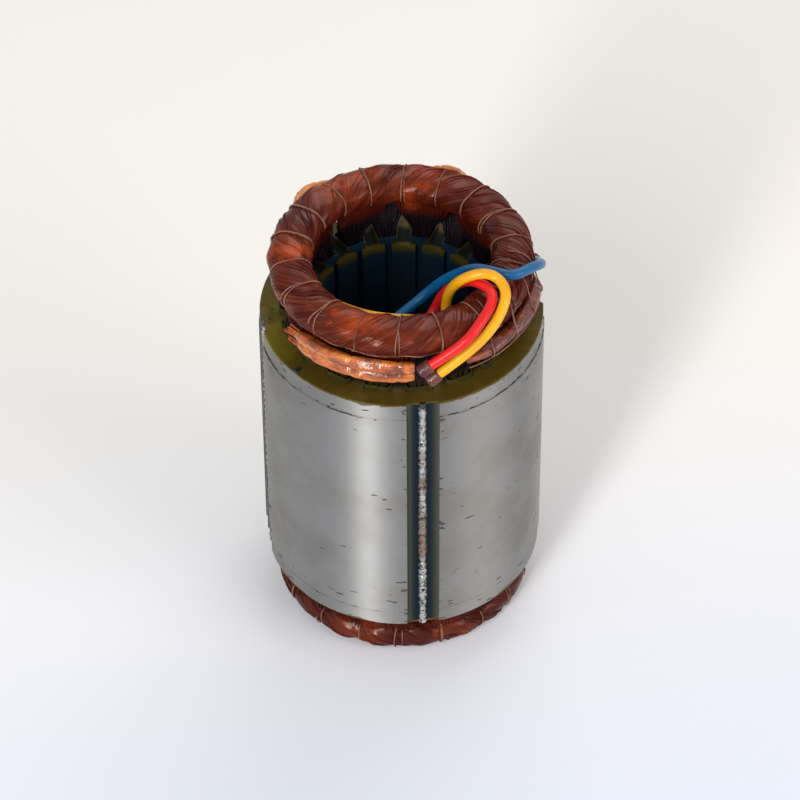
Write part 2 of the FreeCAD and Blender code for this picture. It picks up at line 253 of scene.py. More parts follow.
class Nodes:
    """Adds nodes to a node tree.

    Args:
        tree: the node tree.
    """

    def __init__(self, tree: bpy.types.NodeTree) -> None:
        self.tree = tree

    def feed(self, socket: Socket, value: object) -> None:
        """Give a socket a value or the output of another node."""
        if isinstance(value, Socket):
            self.tree.links.new(value, socket)
        elif socket.type == "RGBA" and isinstance(value, tuple) and len(value) == 3:
            socket.default_value = (*value, 1.0)
        else:
            socket.default_value = value

    def node(self, kind: str, *feeds: object, **given: object) -> bpy.types.Node:
        """New node.

        Args:
            kind: its kind.
            feeds: values or outputs for its first inputs, in order.
            given: its settings, and with a capital letter its inputs by name.

        Returns:
            The node.
        """
        node = self.tree.nodes.new(kind)
        inputs: dict[int | str, object] = dict(enumerate(feeds))
        for key, value in given.items():
            if key[0].isupper():
                inputs[key.replace("_", " ")] = value
            else:
                setattr(node, key, value)
        for place, value in inputs.items():
            self.feed(node.inputs[place], value)
        return node

    def shader(self, kind: str, *feeds: object, **given: object) -> Socket:
        """First output of a new node of a shader kind."""
        return self.node("ShaderNode" + kind, *feeds, **given).outputs[0]

    def maths(self, operation: str, first: object, *others: object) -> Socket:
        """Result of a Math operation, taken over all the values in order."""
        for other in others or (0.0,):
            first = self.shader("Math", first, other, operation=operation)
        return first


class Bench(Nodes):
    """Builds the node tree of one material.

    Args:
        name: name of the material.
        settings: values of the shader's own sockets.
    """

    def __init__(self, name: str, **settings: float | Colour) -> None:
        self.material = bpy.data.materials.new(name)
        self.material.use_nodes = True
        super().__init__(self.material.node_tree)
        self.put(**settings)
        self.place = self.node("ShaderNodeTexCoord").outputs["Object"]

    def put(self, **sockets: object) -> Material:
        """Feed the shader's sockets and give back the material."""
        for key, value in sockets.items():
            self.feed(self.tree.nodes["Principled BSDF"].inputs[key.replace("_", " ")], value)
        return self.material

    def both(self, *masks: object) -> Socket:
        """Product of several masks."""
        return self.maths("MULTIPLY", *masks)

    def outside(self, mask: object) -> Socket:
        """1 less a mask."""
        return self.maths("SUBTRACT", 1.0, mask)

    def window(self, value: object, low: float, high: float, start: float = 0.0, end: float = 1.0) -> Socket:
        """Smooth step of a value from start at low to end at high."""
        return self.shader("MapRange", value, low, high, start, end, interpolation_type="SMOOTHSTEP")

    def past(self, value: object, base: float, low: float, high: float) -> Socket:
        """Smooth step from 0 at low to 1 at high, both in millimetres from a base."""
        return self.window(value, (base + low) * MM, (base + high) * MM)

    def short(self, value: object, base: float, low: float, high: float) -> Socket:
        """Smooth step from 1 at low to 0 at high, both in millimetres from a base."""
        return self.window(value, (base + low) * MM, (base + high) * MM, 1.0, 0.0)

    def stretched(self, scale: tuple[float, float, float], place: Socket | None = None) -> Socket:
        """Coordinates scaled by axis."""
        return self.shader("Mapping", Vector=place or self.place, Scale=scale)

    def noise(
        self, scale: float, detail: float = 3.0, rough: float = 0.55, place: Socket | None = None, warp: float = 0.0
    ) -> Socket:
        """Noise from 0 to 1, with its scale in features per metre."""
        where = place or self.place
        return self.shader("TexNoise", Vector=where, Scale=scale, Detail=detail, Roughness=rough, Distortion=warp)

    def drifted(self, value: Socket, noise: Socket, size: float) -> Socket:
        """A length that noise moves to and fro, with the size in millimetres."""
        return self.maths("ADD", value, self.both(self.maths("SUBTRACT", noise, 0.5), size * MM))

    def ramp(self, value: object, stops: Sequence[tuple[float, Colour]]) -> Socket:
        """Colour from a ramp of stops."""
        node = self.node("ShaderNodeValToRGB", value)
        elements = node.color_ramp.elements
        while len(elements) < len(stops):
            elements.new(0.5)
        for element, (place, colour) in zip(elements, stops):
            element.position = place
            element.color = (*colour, 1.0)
        return node.outputs["Color"]

    def blend(self, share: object, first: object, second: object) -> Socket:
        """Colour between two others."""
        node = self.node("ShaderNodeMix", share, data_type="RGBA")
        self.feed(node.inputs[6], first)
        self.feed(node.inputs[7], second)
        return node.outputs[2]

    def bump(self, height: object, depth: float, strength: float, under: Socket | None = None) -> Socket:
        """Normal of a bumpy surface, with the depth in millimetres."""
        below = {"Normal": under} if under else {}
        return self.shader("Bump", Strength=strength, Distance=depth * MM, Height=height, **below)

    def axes(self) -> Sequence[Socket]:
        """Outputs x, y and z of the object coordinates."""
        return self.node("ShaderNodeSeparateXYZ", self.place).outputs

    def around(self) -> tuple[Socket, Socket, Socket]:
        """Distance from the axis, angle about it in radians, and height."""
        x, y, z = self.axes()
        square = self.maths("ADD", self.both(x, x), self.both(y, y))
        return self.maths("SQRT", square), self.maths("ARCTAN2", y, x), z

    def spot(self, centre: Vector, reach: float) -> Socket:
        """Soft ball of influence about a place, with sizes in millimetres."""
        node = self.node("ShaderNodeVectorMath", self.place, tuple(centre * MM), operation="DISTANCE")
        return self.short(node.outputs["Value"], 0.0, 0.0, reach)


@dataclass(frozen=True)
class CoreFinish:
    """Machined steel outside, olive varnish on the ends, and dark varnish in the bore, slots and grooves.

    Args:
        stack: the stack that it dresses.
    """

    stack: "Stack"
    steel: Colour = (0.275, 0.275, 0.27)
    steel_warm: Colour = (0.235, 0.228, 0.215)
    turned: Colour = (0.25, 0.25, 0.255)
    pit: Colour = (0.035, 0.035, 0.04)
    olive: Colour = (0.075, 0.049, 0.0065)
    olive_thick: Colour = (0.105, 0.070, 0.011)
    # painted highlight on the left of the top face
    painted_lime_highlight: Colour = (0.17, 0.135, 0.010)
    # painted shade on the end faces under the end winding
    painted_shade_under_winding: Colour = (0.007, 0.011, 0.008)
    navy: Colour = (0.0020, 0.0150, 0.034)
    moss: Colour = (0.006, 0.014, 0.010)
    moss_rim: Colour = (0.035, 0.040, 0.006)
    groove_floor: Colour = (0.007, 0.013, 0.019)
    groove_wall: Colour = (0.075, 0.075, 0.055)

    def material(self, name: str, gloss: float) -> Material:
        """The material.

        Args:
            name: name of the material.
            gloss: specular level, which is lower where varnish soaks the steel.

        Returns:
            The material.
        """
        bench = Bench(name, Anisotropic=0.9, Anisotropic_Rotation=0.25, Specular_IOR_Level=gloss)
        window, past, short, both, outside = bench.window, bench.past, bench.short, bench.both, bench.outside
        maths, noise, stretched, blend = bench.maths, bench.noise, bench.stretched, bench.blend
        top, bottom, bore, floor = self.stack.top, self.stack.bottom, self.stack.bore, self.stack.groove_floor
        radius, angle, z = bench.around()
        flat = bench.shader("CombineXYZ", both(angle, self.stack.radius * MM), z, radius)
        # steel: faint turning marks, cloudy grey and short dark ticks that run round the core
        clouds = noise(55.0, 4.0, 0.6, flat)
        lines = noise(900.0, 3.0, 0.7, stretched((0.03, 1.0, 1.0), flat))
        steel = blend(window(clouds, 0.35, 0.7), self.steel, self.steel_warm)
        steel = blend(window(lines, 0.42, 0.62, 0.0, 0.22), steel, self.turned)
        ticks = noise(760.0, 1.5, 0.4, stretched((0.36, 1.0, 1.0), flat))
        tick = window(maths("ADD", ticks, both(self._crowd(bench, angle, z, flat), 0.11)), 0.795, 0.83)
        dark = maths("MAXIMUM", tick, self._score_line(bench, z, flat))
        steel = blend(dark, steel, self.pit)
        # varnish on the end faces: brighter where it is thick; painted shade in a band round the bore under the end
        # winding, where the varnish also lies wetter
        pools = noise(130.0, 3.0, 0.6)
        varnish = blend(window(pools, 0.45, 0.75), self.olive, self.olive_thick)
        # band under the end winding: painted shade in the colour, wetter varnish in the roughness
        shade_and_wet_pool = both(past(radius, bore, 1.2, 2.2), short(radius, bore, 6.5, 9.0))
        varnish = blend(shade_and_wet_pool, varnish, self.painted_shade_under_winding)
        # painted highlight: lime on the left of the top face, where the light catches it
        left = bench.spot(polar(self.stack.radius + 2.0, 184.0, top), 24.0)
        varnish = blend(both(left, window(pools, 0.34, 0.62)), varnish, self.painted_lime_highlight)
        edge = bench.drifted(z, noise(95.0, 3.0, 0.6, flat), 4.2)
        ends = maths("MAXIMUM", past(edge, top, -0.75, -0.35), short(edge, bottom, 0.5, 0.8))
        # inside: the bore, slots and grooves
        stripes = noise(60.0, 2.0, 0.5, stretched((1.0, 1.0, 0.05)))
        inside = blend(window(stripes, 0.5, 0.68, 0.0, 0.5), self.navy, self.moss)
        rim = both(past(z, top, -3.0, -0.8), window(stripes, 0.35, 0.6))
        inside = blend(rim, inside, self.moss_rim)
        inner = short(radius, floor, 0.9, 1.0)
        groove = both(inner, past(radius, floor, -2.0, -1.5))
        inside = blend(groove, inside, blend(past(radius, floor, 0.03, 0.3), self.groove_floor, self.groove_wall))
        # all together
        side = outside(inner)
        colour = blend(ends, blend(side, inside, steel), varnish)
        metal = both(side, outside(ends), outside(dark))
        marks = maths("ADD", both(lines, 0.14), both(dark, -1.0))
        normal = bench.bump(both(marks, side), 0.10, 0.6)
        normal = bench.bump(both(pools, outside(metal)), 0.25, 0.5, normal)
        matt, wet = (0.7, 0.7, 0.7), (0.30, 0.30, 0.30)
        rough = maths("ADD", window(clouds, 0.3, 0.7, 0.46, 0.56), both(dark, 0.3))
        rough = blend(ends, blend(side, matt, rough), blend(shade_and_wet_pool, wet, matt))
        tangent = bench.shader("Tangent", direction_type="RADIAL", axis="Z")
        metallic = both(metal, 0.92)
        return bench.put(Base_Color=colour, Metallic=metallic, Roughness=rough, Normal=normal, Tangent=tangent)

    def _crowd(self, bench: Bench, angle: Socket, z: Socket, flat: Socket) -> Socket:
        """How thick the ticks lie: more near both ends and beside the weld grooves."""
        high, low = bench.past(z, self.stack.top, -14.0, -4.0), bench.short(z, self.stack.bottom, 6.0, 22.0)
        ends = bench.both(bench.maths("MAXIMUM", high, low), 0.55)
        quarter = bench.maths("PINGPONG", bench.maths("ADD", angle, pi), pi / 4.0)
        half = self.stack.groove_width / 2.0
        beside = bench.window(bench.both(quarter, self.stack.radius), half + 0.5, half + 2.6, 0.75, 0.0)
        return bench.maths("ADD", bench.noise(22.0, 2.0, 0.5, flat), ends, beside)

    def _score_line(self, bench: Bench, z: Socket, flat: Socket) -> Socket:
        """Broken dark line where each end band begins."""
        here = bench.drifted(z, bench.noise(300.0, 3.0, 0.6, flat), 1.1)
        gaps = bench.window(bench.noise(70.0, 3.0, 0.7, bench.stretched((1.0, 0.2, 1.0), flat)), 0.44, 0.52)
        lines = []
        for height in (self.stack.top - self.stack.band, self.stack.bottom + self.stack.band):
            away = bench.maths("ABSOLUTE", bench.maths("SUBTRACT", here, height * MM))
            lines.append(bench.short(away, 0.0, 0.06, 0.17))
        return bench.both(bench.maths("MAXIMUM", *lines), gaps)


@dataclass(frozen=True)
class WeldFinish:
    """Bright bead metal with brown heat tint, dark pits and a top end dipped in varnish."""

    bright: Colour = (0.50, 0.50, 0.48)
    tint: Colour = (0.20, 0.13, 0.09)
    pit: Colour = (0.02, 0.022, 0.028)
    varnish: Colour = (0.016, 0.015, 0.008)

    def material(self) -> Material:
        """The material."""
        bench = Bench("weld_bead_metal")
        slow = bench.noise(140.0, 3.0, 0.6, bench.stretched((1.0, 1.0, 0.45)))
        fine = bench.noise(1100.0, 3.0, 0.6)
        colour = bench.blend(bench.window(slow, 0.42, 0.60), self.bright, self.tint)
        colour = bench.blend(bench.window(fine, 0.52, 0.62), colour, self.pit)
        dipped = bench.past(bench.axes()[2], STACK.top, -2.6, -1.4)
        colour = bench.blend(dipped, colour, self.varnish)
        metal = bench.both(bench.window(slow, 0.42, 0.62, 0.9, 0.35), bench.outside(dipped))
        rough = bench.window(fine, 0.3, 0.7, 0.22, 0.6)
        return bench.put(Base_Color=colour, Metallic=metal, Roughness=rough, Normal=bench.bump(fine, 0.12, 0.7))


@dataclass(frozen=True)
class WindingFinish:
    """Red-brown enamelled wire under varnish, with orange and purple-brown areas.

    Args:
        name: name of the material.
        coat: weight of the clear coat.
        strands: whether noise drawn out along the "strand" attribute stands for single wires.
    """

    name: str = "varnished_copper_wire"
    coat: float = 0.08
    strands: bool = False
    dark: Colour = (0.034, 0.0050, 0.0034)
    brown: Colour = (0.074, 0.0085, 0.0034)
    rust: Colour = (0.098, 0.012, 0.0046)
    orange: Colour = (0.42, 0.060, 0.008)
    bright_strand: Colour = (0.20, 0.029, 0.009)
    shade: Colour = (0.004, 0.008, 0.013)
    foot_varnish: Colour = (0.030, 0.022, 0.005)
    low_shade: Colour = (0.030, 0.006, 0.005)

    def material(self) -> Material:
        """The material."""
        bench = Bench(
            self.name, Coat_Weight=self.coat, Coat_Roughness=0.035, Coat_IOR=1.5, Metallic=0.15, Specular_IOR_Level=0.05
        )
        window, short, both, noise, blend = bench.window, bench.short, bench.both, bench.noise, bench.blend
        tones = zip((0.30, 0.44, 0.60, 0.76), (self.dark, self.brown, self.rust, self.orange))
        colour = bench.ramp(noise(75.0, 3.0, 0.55), list(tones))
        patches = window(noise(160.0, 3.0), 0.30, 0.55)
        for centre, reach, share in ORANGE_PLACES:
            colour = blend(both(bench.spot(centre, reach), patches, share), colour, self.orange)
        grain, depth = noise(900.0, 2.0, 0.5), 0.05
        if self.strands:
            flow = bench.node("ShaderNodeAttribute", attribute_name="strand").outputs["Vector"]
            grain, depth = noise(2400.0, 2.0, 0.6, bench.stretched((1.0, 1.0, 0.05), flow)), 0.16
            bundle = noise(420.0, 2.0, 0.5, bench.stretched((1.0, 1.0, 0.10), flow))
            colour = blend(window(bundle, 0.40, 0.66, 0.0, 0.55), colour, self.bright_strand)
        colour = blend(window(grain, 0.46, 0.72, 0.0, 0.35), colour, self.dark)
        # painted shade under the top ring and inside it, olive varnish at the foot of the risers, and painted shade low
        # down
        radius, _, z = bench.around()
        upper = bench.past(z, 0.0, 50.0, 80.0)
        under = both(short(z, TOP_RING.centre, -8.5, -3.5), upper, short(radius, 0.0, 33.5, 36.5))
        colour = blend(both(under, window(grain, 0.30, 0.62, 1.0, 0.80)), colour, self.shade)
        foot = both(short(z, STACK.top, 2.0, 5.0), upper, bench.past(radius, 0.0, 32.0, 34.0))
        colour = blend(foot, colour, self.foot_varnish)
        colour = blend(both(short(z, 0.0, 12.0, 17.0), 0.55), colour, self.low_shade)
        rough = window(noise(240.0, 3.0), 0.35, 0.7, 0.26, 0.48)
        film = bench.bump(grain, depth * 0.5, 0.35)
        return bench.put(Base_Color=colour, Roughness=rough, Normal=bench.bump(grain, depth, 0.5), Coat_Normal=film)


@dataclass(frozen=True)
class SimpleFinish:
    """Varnished paper, cord, sleeve or plastic: two colours mixed by noise, with a fine bump.

    Args:
        name: name of the material.
        light: the lighter colour.
        deep: the deeper colour.
        rough: roughness in the smoother and in the rougher places.
        coat: weight of a clear coat.
        scale: broad noise, in features per metre.
        grain: fine noise, in features per metre.
        depth: depth of the fine bump, in millimetres.
        share: most of the deeper colour that shows.
    """

    name: str
    light: Colour
    deep: Colour
    rough: tuple[float, float]
    coat: float
    scale: float
    grain: float
    depth: float
    share: float = 1.0

    def material(self) -> Material:
        """The material."""
        bench = Bench(self.name, Coat_Weight=self.coat, Coat_Roughness=0.07, Specular_IOR_Level=0.22)
        broad, fine = bench.noise(self.scale, 3.0, 0.6), bench.noise(self.grain, 3.0, 0.6)
        colour = bench.blend(bench.window(broad, 0.38, 0.66, 0.0, self.share), self.light, self.deep)
        rough = bench.window(fine, 0.3, 0.7, *self.rough)
        return bench.put(Base_Color=colour, Roughness=rough, Normal=bench.bump(fine, self.depth, 0.6))


@dataclass(frozen=True)
class SleeveFinish:
    """Varnished sleeving: four tones from dark to bright in one ramp, with folds that catch the light.

    Args:
        name: name of the material.
        coat: weight of the clear coat.
        tones: the four colours.
    """

    name: str
    coat: float
    tones: tuple[Colour, ...]

    def material(self) -> Material:
        """The material."""
        bench = Bench(
            self.name, Coat_Weight=self.coat, Coat_Roughness=0.05, Specular_IOR_Level=0.2,
            Subsurface_Weight=0.15, Subsurface_Radius=(0.0012, 0.0005, 0.0002),
        )
        broad = bench.noise(150.0, 4.0, 0.6, bench.stretched((1.0, 1.0, 1.7)), 0.6)
        folds = bench.noise(420.0, 3.0, 0.6, bench.stretched((0.5, 1.0, 1.6)), 1.2)
        tone = bench.maths("ADD", bench.both(broad, 0.75), bench.both(folds, 0.25))
        colour = bench.ramp(tone, list(zip((0.33, 0.44, 0.53, 0.65), self.tones)))
        normal, rough = bench.bump(folds, 0.35, 0.5), bench.window(folds, 0.3, 0.7, 0.2, 0.4)
        return bench.put(Base_Color=colour, Roughness=rough, Normal=normal, Coat_Normal=normal)


# ---------------- geometry-node trees
class Tree(Nodes):
    """A geometry node group that turns paths into solid round forms.

    Args:
        name: name of the group.
        sizes: names of its inputs, apart from Geometry, Sides and Material.
    """

    KINDS = {"Geometry": "Geometry", "Sides": "Int", "Material": "Material"}

    def __init__(self, name: str, *sizes: str) -> None:
        super().__init__(bpy.data.node_groups.new(name, "GeometryNodeTree"))
        self.keys = {}
        for label in (*self.KINDS, *sizes):
            kind = "NodeSocket" + self.KINDS.get(label, "Float")
            socket = self.tree.interface.new_socket(label, in_out="INPUT", socket_type=kind)
            self.keys[label.replace(" ", "_")] = socket.identifier
        self.tree.interface.new_socket("Geometry", in_out="OUTPUT", socket_type="NodeSocketGeometry")
        self.inputs = self.node("NodeGroupInput").outputs
        self.line = self.part("MeshToCurve", self.inputs["Geometry"])

    def part(self, kind: str, *feeds: object, **given: object) -> Socket:
        """First output of a new node of a geometry kind."""
        return self.node("GeometryNode" + kind, *feeds, **given).outputs[0]

    def vectors(self, operation: str, first: Socket, second: object) -> Socket:
        """Result of a VectorMath node on two vectors."""
        return self.shader("VectorMath", first, second, operation=operation)

    def scaled(self, vector: Socket, size: Socket) -> Socket:
        """A vector times a number."""
        return self.shader("VectorMath", vector, operation="SCALE", Scale=size)

    def moved_skin(self, curve: Socket, offset: Socket, radius: Socket) -> Socket:
        """Round skin about curves that are first moved by an offset."""
        moved = self.part("SetPosition", Geometry=curve, Offset=offset)
        ring = self.part("CurvePrimitiveCircle", Resolution=self.inputs["Sides"], Radius=radius, mode="RADIUS")
        return self.part("CurveToMesh", Curve=moved, Profile_Curve=ring, Fill_Caps=True)

    def finish(self, geometry: Socket) -> None:
        """Smooth, realize and dress the geometry, and close the tree."""
        real = self.part("RealizeInstances", self.part("SetShadeSmooth", geometry))
        dressed = self.part("SetMaterial", Geometry=real, Material=self.inputs["Material"])
        self.node("NodeGroupOutput", dressed)

    def grown(self, name: str, paths: Sequence[Path], **values: object) -> Mesh:
        """Plain mesh that the tree makes from open paths.

        Args:
            name: name of the mesh.
            paths: paths in millimetres.
            values: values of the tree's inputs, with lengths in millimetres.

        Returns:
            The mesh, in metres.
        """
        points: Path = []
        edges: list[tuple[int, int]] = []
        for path in paths:
            base = len(points)
            points += [p * MM for p in path]
            edges += [(base + i, base + i + 1) for i in range(len(path) - 1)]
        source = bpy.data.meshes.new(name + "_paths")
        source.from_pydata(points, edges, [])
        carrier = placed(name + "_paths", source)
        modifier = carrier.modifiers.new("growth", "NODES")
        modifier.node_group = self.tree
        for key, value in values.items():
            length = isinstance(value, float) and key != "Waver_Scale"
            modifier[self.keys[key]] = value * MM if length else value
        mesh = taken(carrier)
        mesh.name = name
        bpy.data.meshes.remove(source)
        return mesh


def wire_tree() -> Tree:
    """Round wires along paths, each a little uneven."""
    tree = Tree("round_wire", "Wire Radius", "Waver", "Waver Scale")
    drift = tree.node("ShaderNodeTexNoise", Scale=tree.inputs["Waver Scale"], Detail=1.0).outputs["Color"]
    offset = tree.scaled(tree.vectors("SUBTRACT", drift, (0.5, 0.5, 0.5)), tree.inputs["Waver"])
    tree.finish(tree.moved_skin(tree.line, offset, tree.inputs["Wire Radius"]))
    return tree


def laid_cord_tree() -> Tree:
    """Cord of two plies twisted about each other along paths."""
    tree = Tree("laid_cord", "Ply Radius", "Lay", "Step")
    reach = tree.inputs["Ply Radius"]
    even = tree.part("ResampleCurve", tree.line, Length=tree.inputs["Step"], mode="LENGTH")
    along = tree.node("GeometryNodeSplineParameter").outputs["Length"]
    normal = tree.part("InputNormal")
    binormal = tree.vectors("CROSS_PRODUCT", tree.part("InputTangent"), normal)
    turn = tree.maths("MULTIPLY", tree.maths("DIVIDE", along, tree.inputs["Lay"]), 2.0 * pi)
    joined = tree.node("GeometryNodeJoinGeometry")
    for phase in (0.0, pi):
        angle = tree.maths("ADD", turn, phase)
        sides = [
            tree.scaled(way, tree.maths("MULTIPLY", tree.maths(operation, angle), reach))
            for way, operation in ((normal, "COSINE"), (binormal, "SINE"))
        ]
        tree.feed(joined.inputs[0], tree.moved_skin(even, tree.vectors("ADD", *sides), reach))
    tree.finish(joined.outputs[0])
    return tree


# ---------------- pieces
def joined_mesh(name: str, meshes: Sequence[Mesh]) -> Mesh:
    """One mesh from several, with their materials; the several are removed."""
    result = bpy.data.meshes.new(name)
    bm = bmesh.new()
    done = 0
    for mesh in meshes:
        base = len(result.materials)
        for material in mesh.materials:
            result.materials.append(material)
        bm.from_mesh(mesh)
        bm.faces.ensure_lookup_table()
        for face in bm.faces[done:]:
            face.material_index += base
        done = len(bm.faces)
        bpy.data.meshes.remove(mesh)
    bm.to_mesh(result)
    bm.free()
    return result


def set_out(
    name: str, mesh: Mesh, finish: Finish, material: Material | None = None, replaced: Sequence[str] = ()
) -> bpy.types.Object:
    """Place a finished mesh on the stator.

    Args:
        name: name of the piece.
        mesh: its mesh, in metres.
        finish: the record's material slot; not used.
        material: its material, if the mesh has none yet.
        replaced: the frame's nodes that it stands for.

    Returns:
        The piece.
    """
    piece = placed(name, mesh)
    if material is not None:
        mesh.materials.clear()
        mesh.materials.append(material)
    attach(piece, BODY)
    if replaced:
        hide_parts(*replaced)
    LOG.info("%s: %d faces", name, len(mesh.polygons))
    return piece


# ---------------- lamination stack
def turned(outline: Outline, turn: float) -> Outline:
    """An outline turned about the axis by an angle in degrees."""
    c, s = cos(radians(turn)), sin(radians(turn))
    return [(x * c - y * s, x * s + y * c) for x, y in outline]


def arc(radius: float, start: float, end: float, count: int) -> Outline:
    """Points inside an arc between two angles in degrees."""
    turns = [radians(start + (end - start) * step / count) for step in range(1, count)]
    return [(radius * cos(at), radius * sin(at)) for at in turns]


def level(outline: Outline, z: float) -> Path:
    """An outline at a height."""
    return [Vector((x, y, z)) for x, y in outline]


@dataclass
class Stack:
    """The lamination stack with its bore, slots, weld grooves and end bands, in millimetres."""

    radius: float = 40.0
    bore: float = 24.5
    slot_opening: float = 1.9
    tip_depth: float = 1.0
    tip_taper: float = 0.6
    tooth_width: float = 3.5
    back_iron: float = 5.8
    corner: float = 1.0
    corner_run: float = 0.3
    chamfer: float = 0.3
    band: float = 5.5
    band_step: float = 0.35
    band_edge: float = 0.15
    groove_width: float = 9.2
    groove_depth: float = 1.4
    groove_corner: float = 0.25
    grooves: int = 4
    bottom: float = 0.0
    top: float = 0.0

    def __post_init__(self) -> None:
        """Heights come from the frame."""
        low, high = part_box("lamination_stack")
        self.bottom, self.top = low.z / MM, high.z / MM

    @property
    def slot_floor(self) -> float:
        """Distance of the slots' floor from the axis."""
        return self.radius - self.back_iron

    @property
    def groove_floor(self) -> float:
        """Distance of the weld grooves' floor from the axis."""
        return self.radius - self.groove_depth

    @property
    def wedge_radius(self) -> float:
        """Distance of the wedges from the axis."""
        return self.bore + self.tip_depth + self.tip_taper

    def slot_half_width(self, x: float, clearance: float = 0.0) -> float:
        """Half of a slot's width at a distance from the axis."""
        half_pitch = radians(SLOT_PITCH / 2.0)
        return x * tan(half_pitch) - self.tooth_width / 2.0 / cos(half_pitch) - clearance

    def inner_loop(self) -> Outline:
        """Bore and slots as one closed outline."""
        corner = self.slot_floor - self.corner
        wide = self.slot_half_width(corner)
        mouth, straight = self.slot_opening / 2.0, corner - self.corner_run
        half = [(self.bore, mouth), (self.bore + self.tip_depth, mouth)]
        half += [(x, self.slot_half_width(x)) for x in (self.wedge_radius, straight)]
        for step in range(1, 7):
            turn = pi / 2.0 * step / 6.0
            run = (self.corner + self.corner_run) * sin(turn)
            half.append((straight + run, wide - self.corner + self.corner * cos(turn)))
        slot = [(x, -y) for x, y in half] + half[::-1]
        loop = []
        edge = degrees(asin(mouth / self.bore))
        for index in range(SLOTS):
            turn = FIRST_SLOT + SLOT_PITCH * index
            loop += turned(slot, turn) + arc(self.bore, turn + edge, turn + SLOT_PITCH - edge, 12)
        return loop

    def outer_loop(self, radius: float) -> Outline:
        """Outside with its weld grooves as one closed outline."""
        half, floor, corner = self.groove_width / 2.0, self.groove_floor, self.groove_corner
        part = [(floor, half - corner), (floor + corner, half), (sqrt(radius ** 2 - half ** 2), half)]
        profile = [(x, -y) for x, y in part[::-1]] + part
        edge, pitch = degrees(asin(half / radius)), 360.0 / self.grooves
        loop = []
        for index in range(self.grooves):
            middle = FIRST_SLOT + pitch * index
            loop += turned(profile, middle) + arc(radius, middle + edge, middle + pitch - edge, 96)
        return loop

    def mesh(self) -> Mesh:
        """The stack's mesh, with its machined outside apart from its varnished faces."""
        band = self.radius - self.band_step
        steps = [(0.0, band - self.chamfer), (self.chamfer, band), (self.band - self.band_edge, band)]
        steps.append((self.band, self.radius))
        levels = [(self.bottom + rise, radius) for rise, radius in steps]
        levels += [(self.top - rise, radius) for rise, radius in steps[::-1]]
        outside = [level(self.outer_loop(radius), z) for z, radius in levels]
        inside = [level(self.inner_loop(), z) for z in (self.bottom, self.top)]
        shell = Shell()
        bases = shell.skin(outside), shell.skin(inside)
        for row in (0, -1):
            outer, inner = outside[row], inside[row]
            first = bases[0] + row % len(outside) * len(outer), bases[1] + row % len(inside) * len(inner)
            names = [first[0] + i for i in range(len(outer))] + [first[1] + i for i in range(len(inner))]
            for triangle in tessellate_polygon([outer, inner]):
                shell.faces.append(tuple(names[i] for i in triangle))
        mesh = shell.mesh("lamination_core", 30.0)
        machined, upright = self.groove_floor + 0.9, 0.7
        for face in mesh.polygons:
            reach = hypot(face.center.x, face.center.y) / MM
            face.material_index = 0 if reach > machined and abs(face.normal.z) < upright else 1
        return mesh

    def weld_bead(self, index: int) -> Mesh:
        """Uneven bead along the floor of a groove.

        Args:
            index: number of the groove.

        Returns:
            The bead's mesh.
        """
        floor, sides = self.groove_floor, 18
        seed = 7.3 * index + 2.1
        turn = Matrix.Rotation(radians(FIRST_SLOT + 360.0 / self.grooves * index), 4, "Z")
        sections = []
        for share in shares(420):
            height = mixed(self.bottom, self.top, share)
            ripple = abs(sin(height * 1.15 + 1.6 * wavy(0.0, seed, height * 0.09)))
            blob = wavy(seed, 3.0, height * 0.16)
            half = 0.90 + 0.28 * ripple + 0.34 * blob + 0.22 * wavy(seed, 9.0, height * 0.9)
            crest = 0.66 + 0.24 * ripple + 0.26 * blob
            section = []
            for side in shares(sides - 1):
                way = 2.0 * side - 1.0
                lump = 0.16 * wavy(way * 1.8, seed, height * 1.1) + 0.07 * wavy(way * 5.0, seed, height * 3.4)
                lift = crest * (1.0 - abs(way) ** 2.6) + lump * (1.0 - way ** 4)
                section.append(Vector((floor - 0.02 + clamped(lift, 0.0, 1.3), half * way, height)))
            section += [Vector((floor - 0.1, half * way, height)) for way in (0.9, -0.9)]
            sections.append([turn @ p for p in section])
        shell = Shell()
        shell.loft(sections)
        return shell.mesh(f"weld_bead_{index + 1}", 75.0)

    def build(self) -> None:
        """Make and dress the stack and its weld beads."""
        finish = CoreFinish(self)
        mesh = self.mesh()
        mesh.materials.append(finish.material("machined_core_steel", 0.5))
        mesh.materials.append(finish.material("varnish_soaked_core", 0.06))
        set_out("lamination_core", mesh, Finish.STEEL, None, ["lamination_stack"])
        bead = WeldFinish().material()
        for index in range(self.grooves):
            name = f"weld_bead_{index + 1}"
            set_out(name, self.weld_bead(index), Finish.WELD, bead, [f"weld_seam_{index + 1}"])


# ---------------- insulation
def dress_insulation() -> None:
    """Dress the slot liners and wedges, which keep the frame's own shapes."""
    paper = SimpleFinish(
        "varnished_slot_paper", (0.050, 0.035, 0.006), (0.024, 0.020, 0.006), (0.45, 0.6), 0.0, 160.0, 1300.0, 0.05
    ).material()
    strip = SimpleFinish(
        "slot_wedge_strip", (0.004, 0.022, 0.045), (0.004, 0.016, 0.026), (0.5, 0.65), 0.0, 90.0, 1300.0, 0.04, 0.8
    ).material()
    for index in range(SLOTS):
        for kind, material, finish in (("liner", paper, Finish.PAPER), ("wedge", strip, Finish.WEDGE)):
            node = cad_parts[f"slot_{kind}_{index + 1:02d}"]
            node.data.materials.clear()
            node.data.materials.append(material)
    LOG.info("slot liners and wedges: %d each", SLOTS)


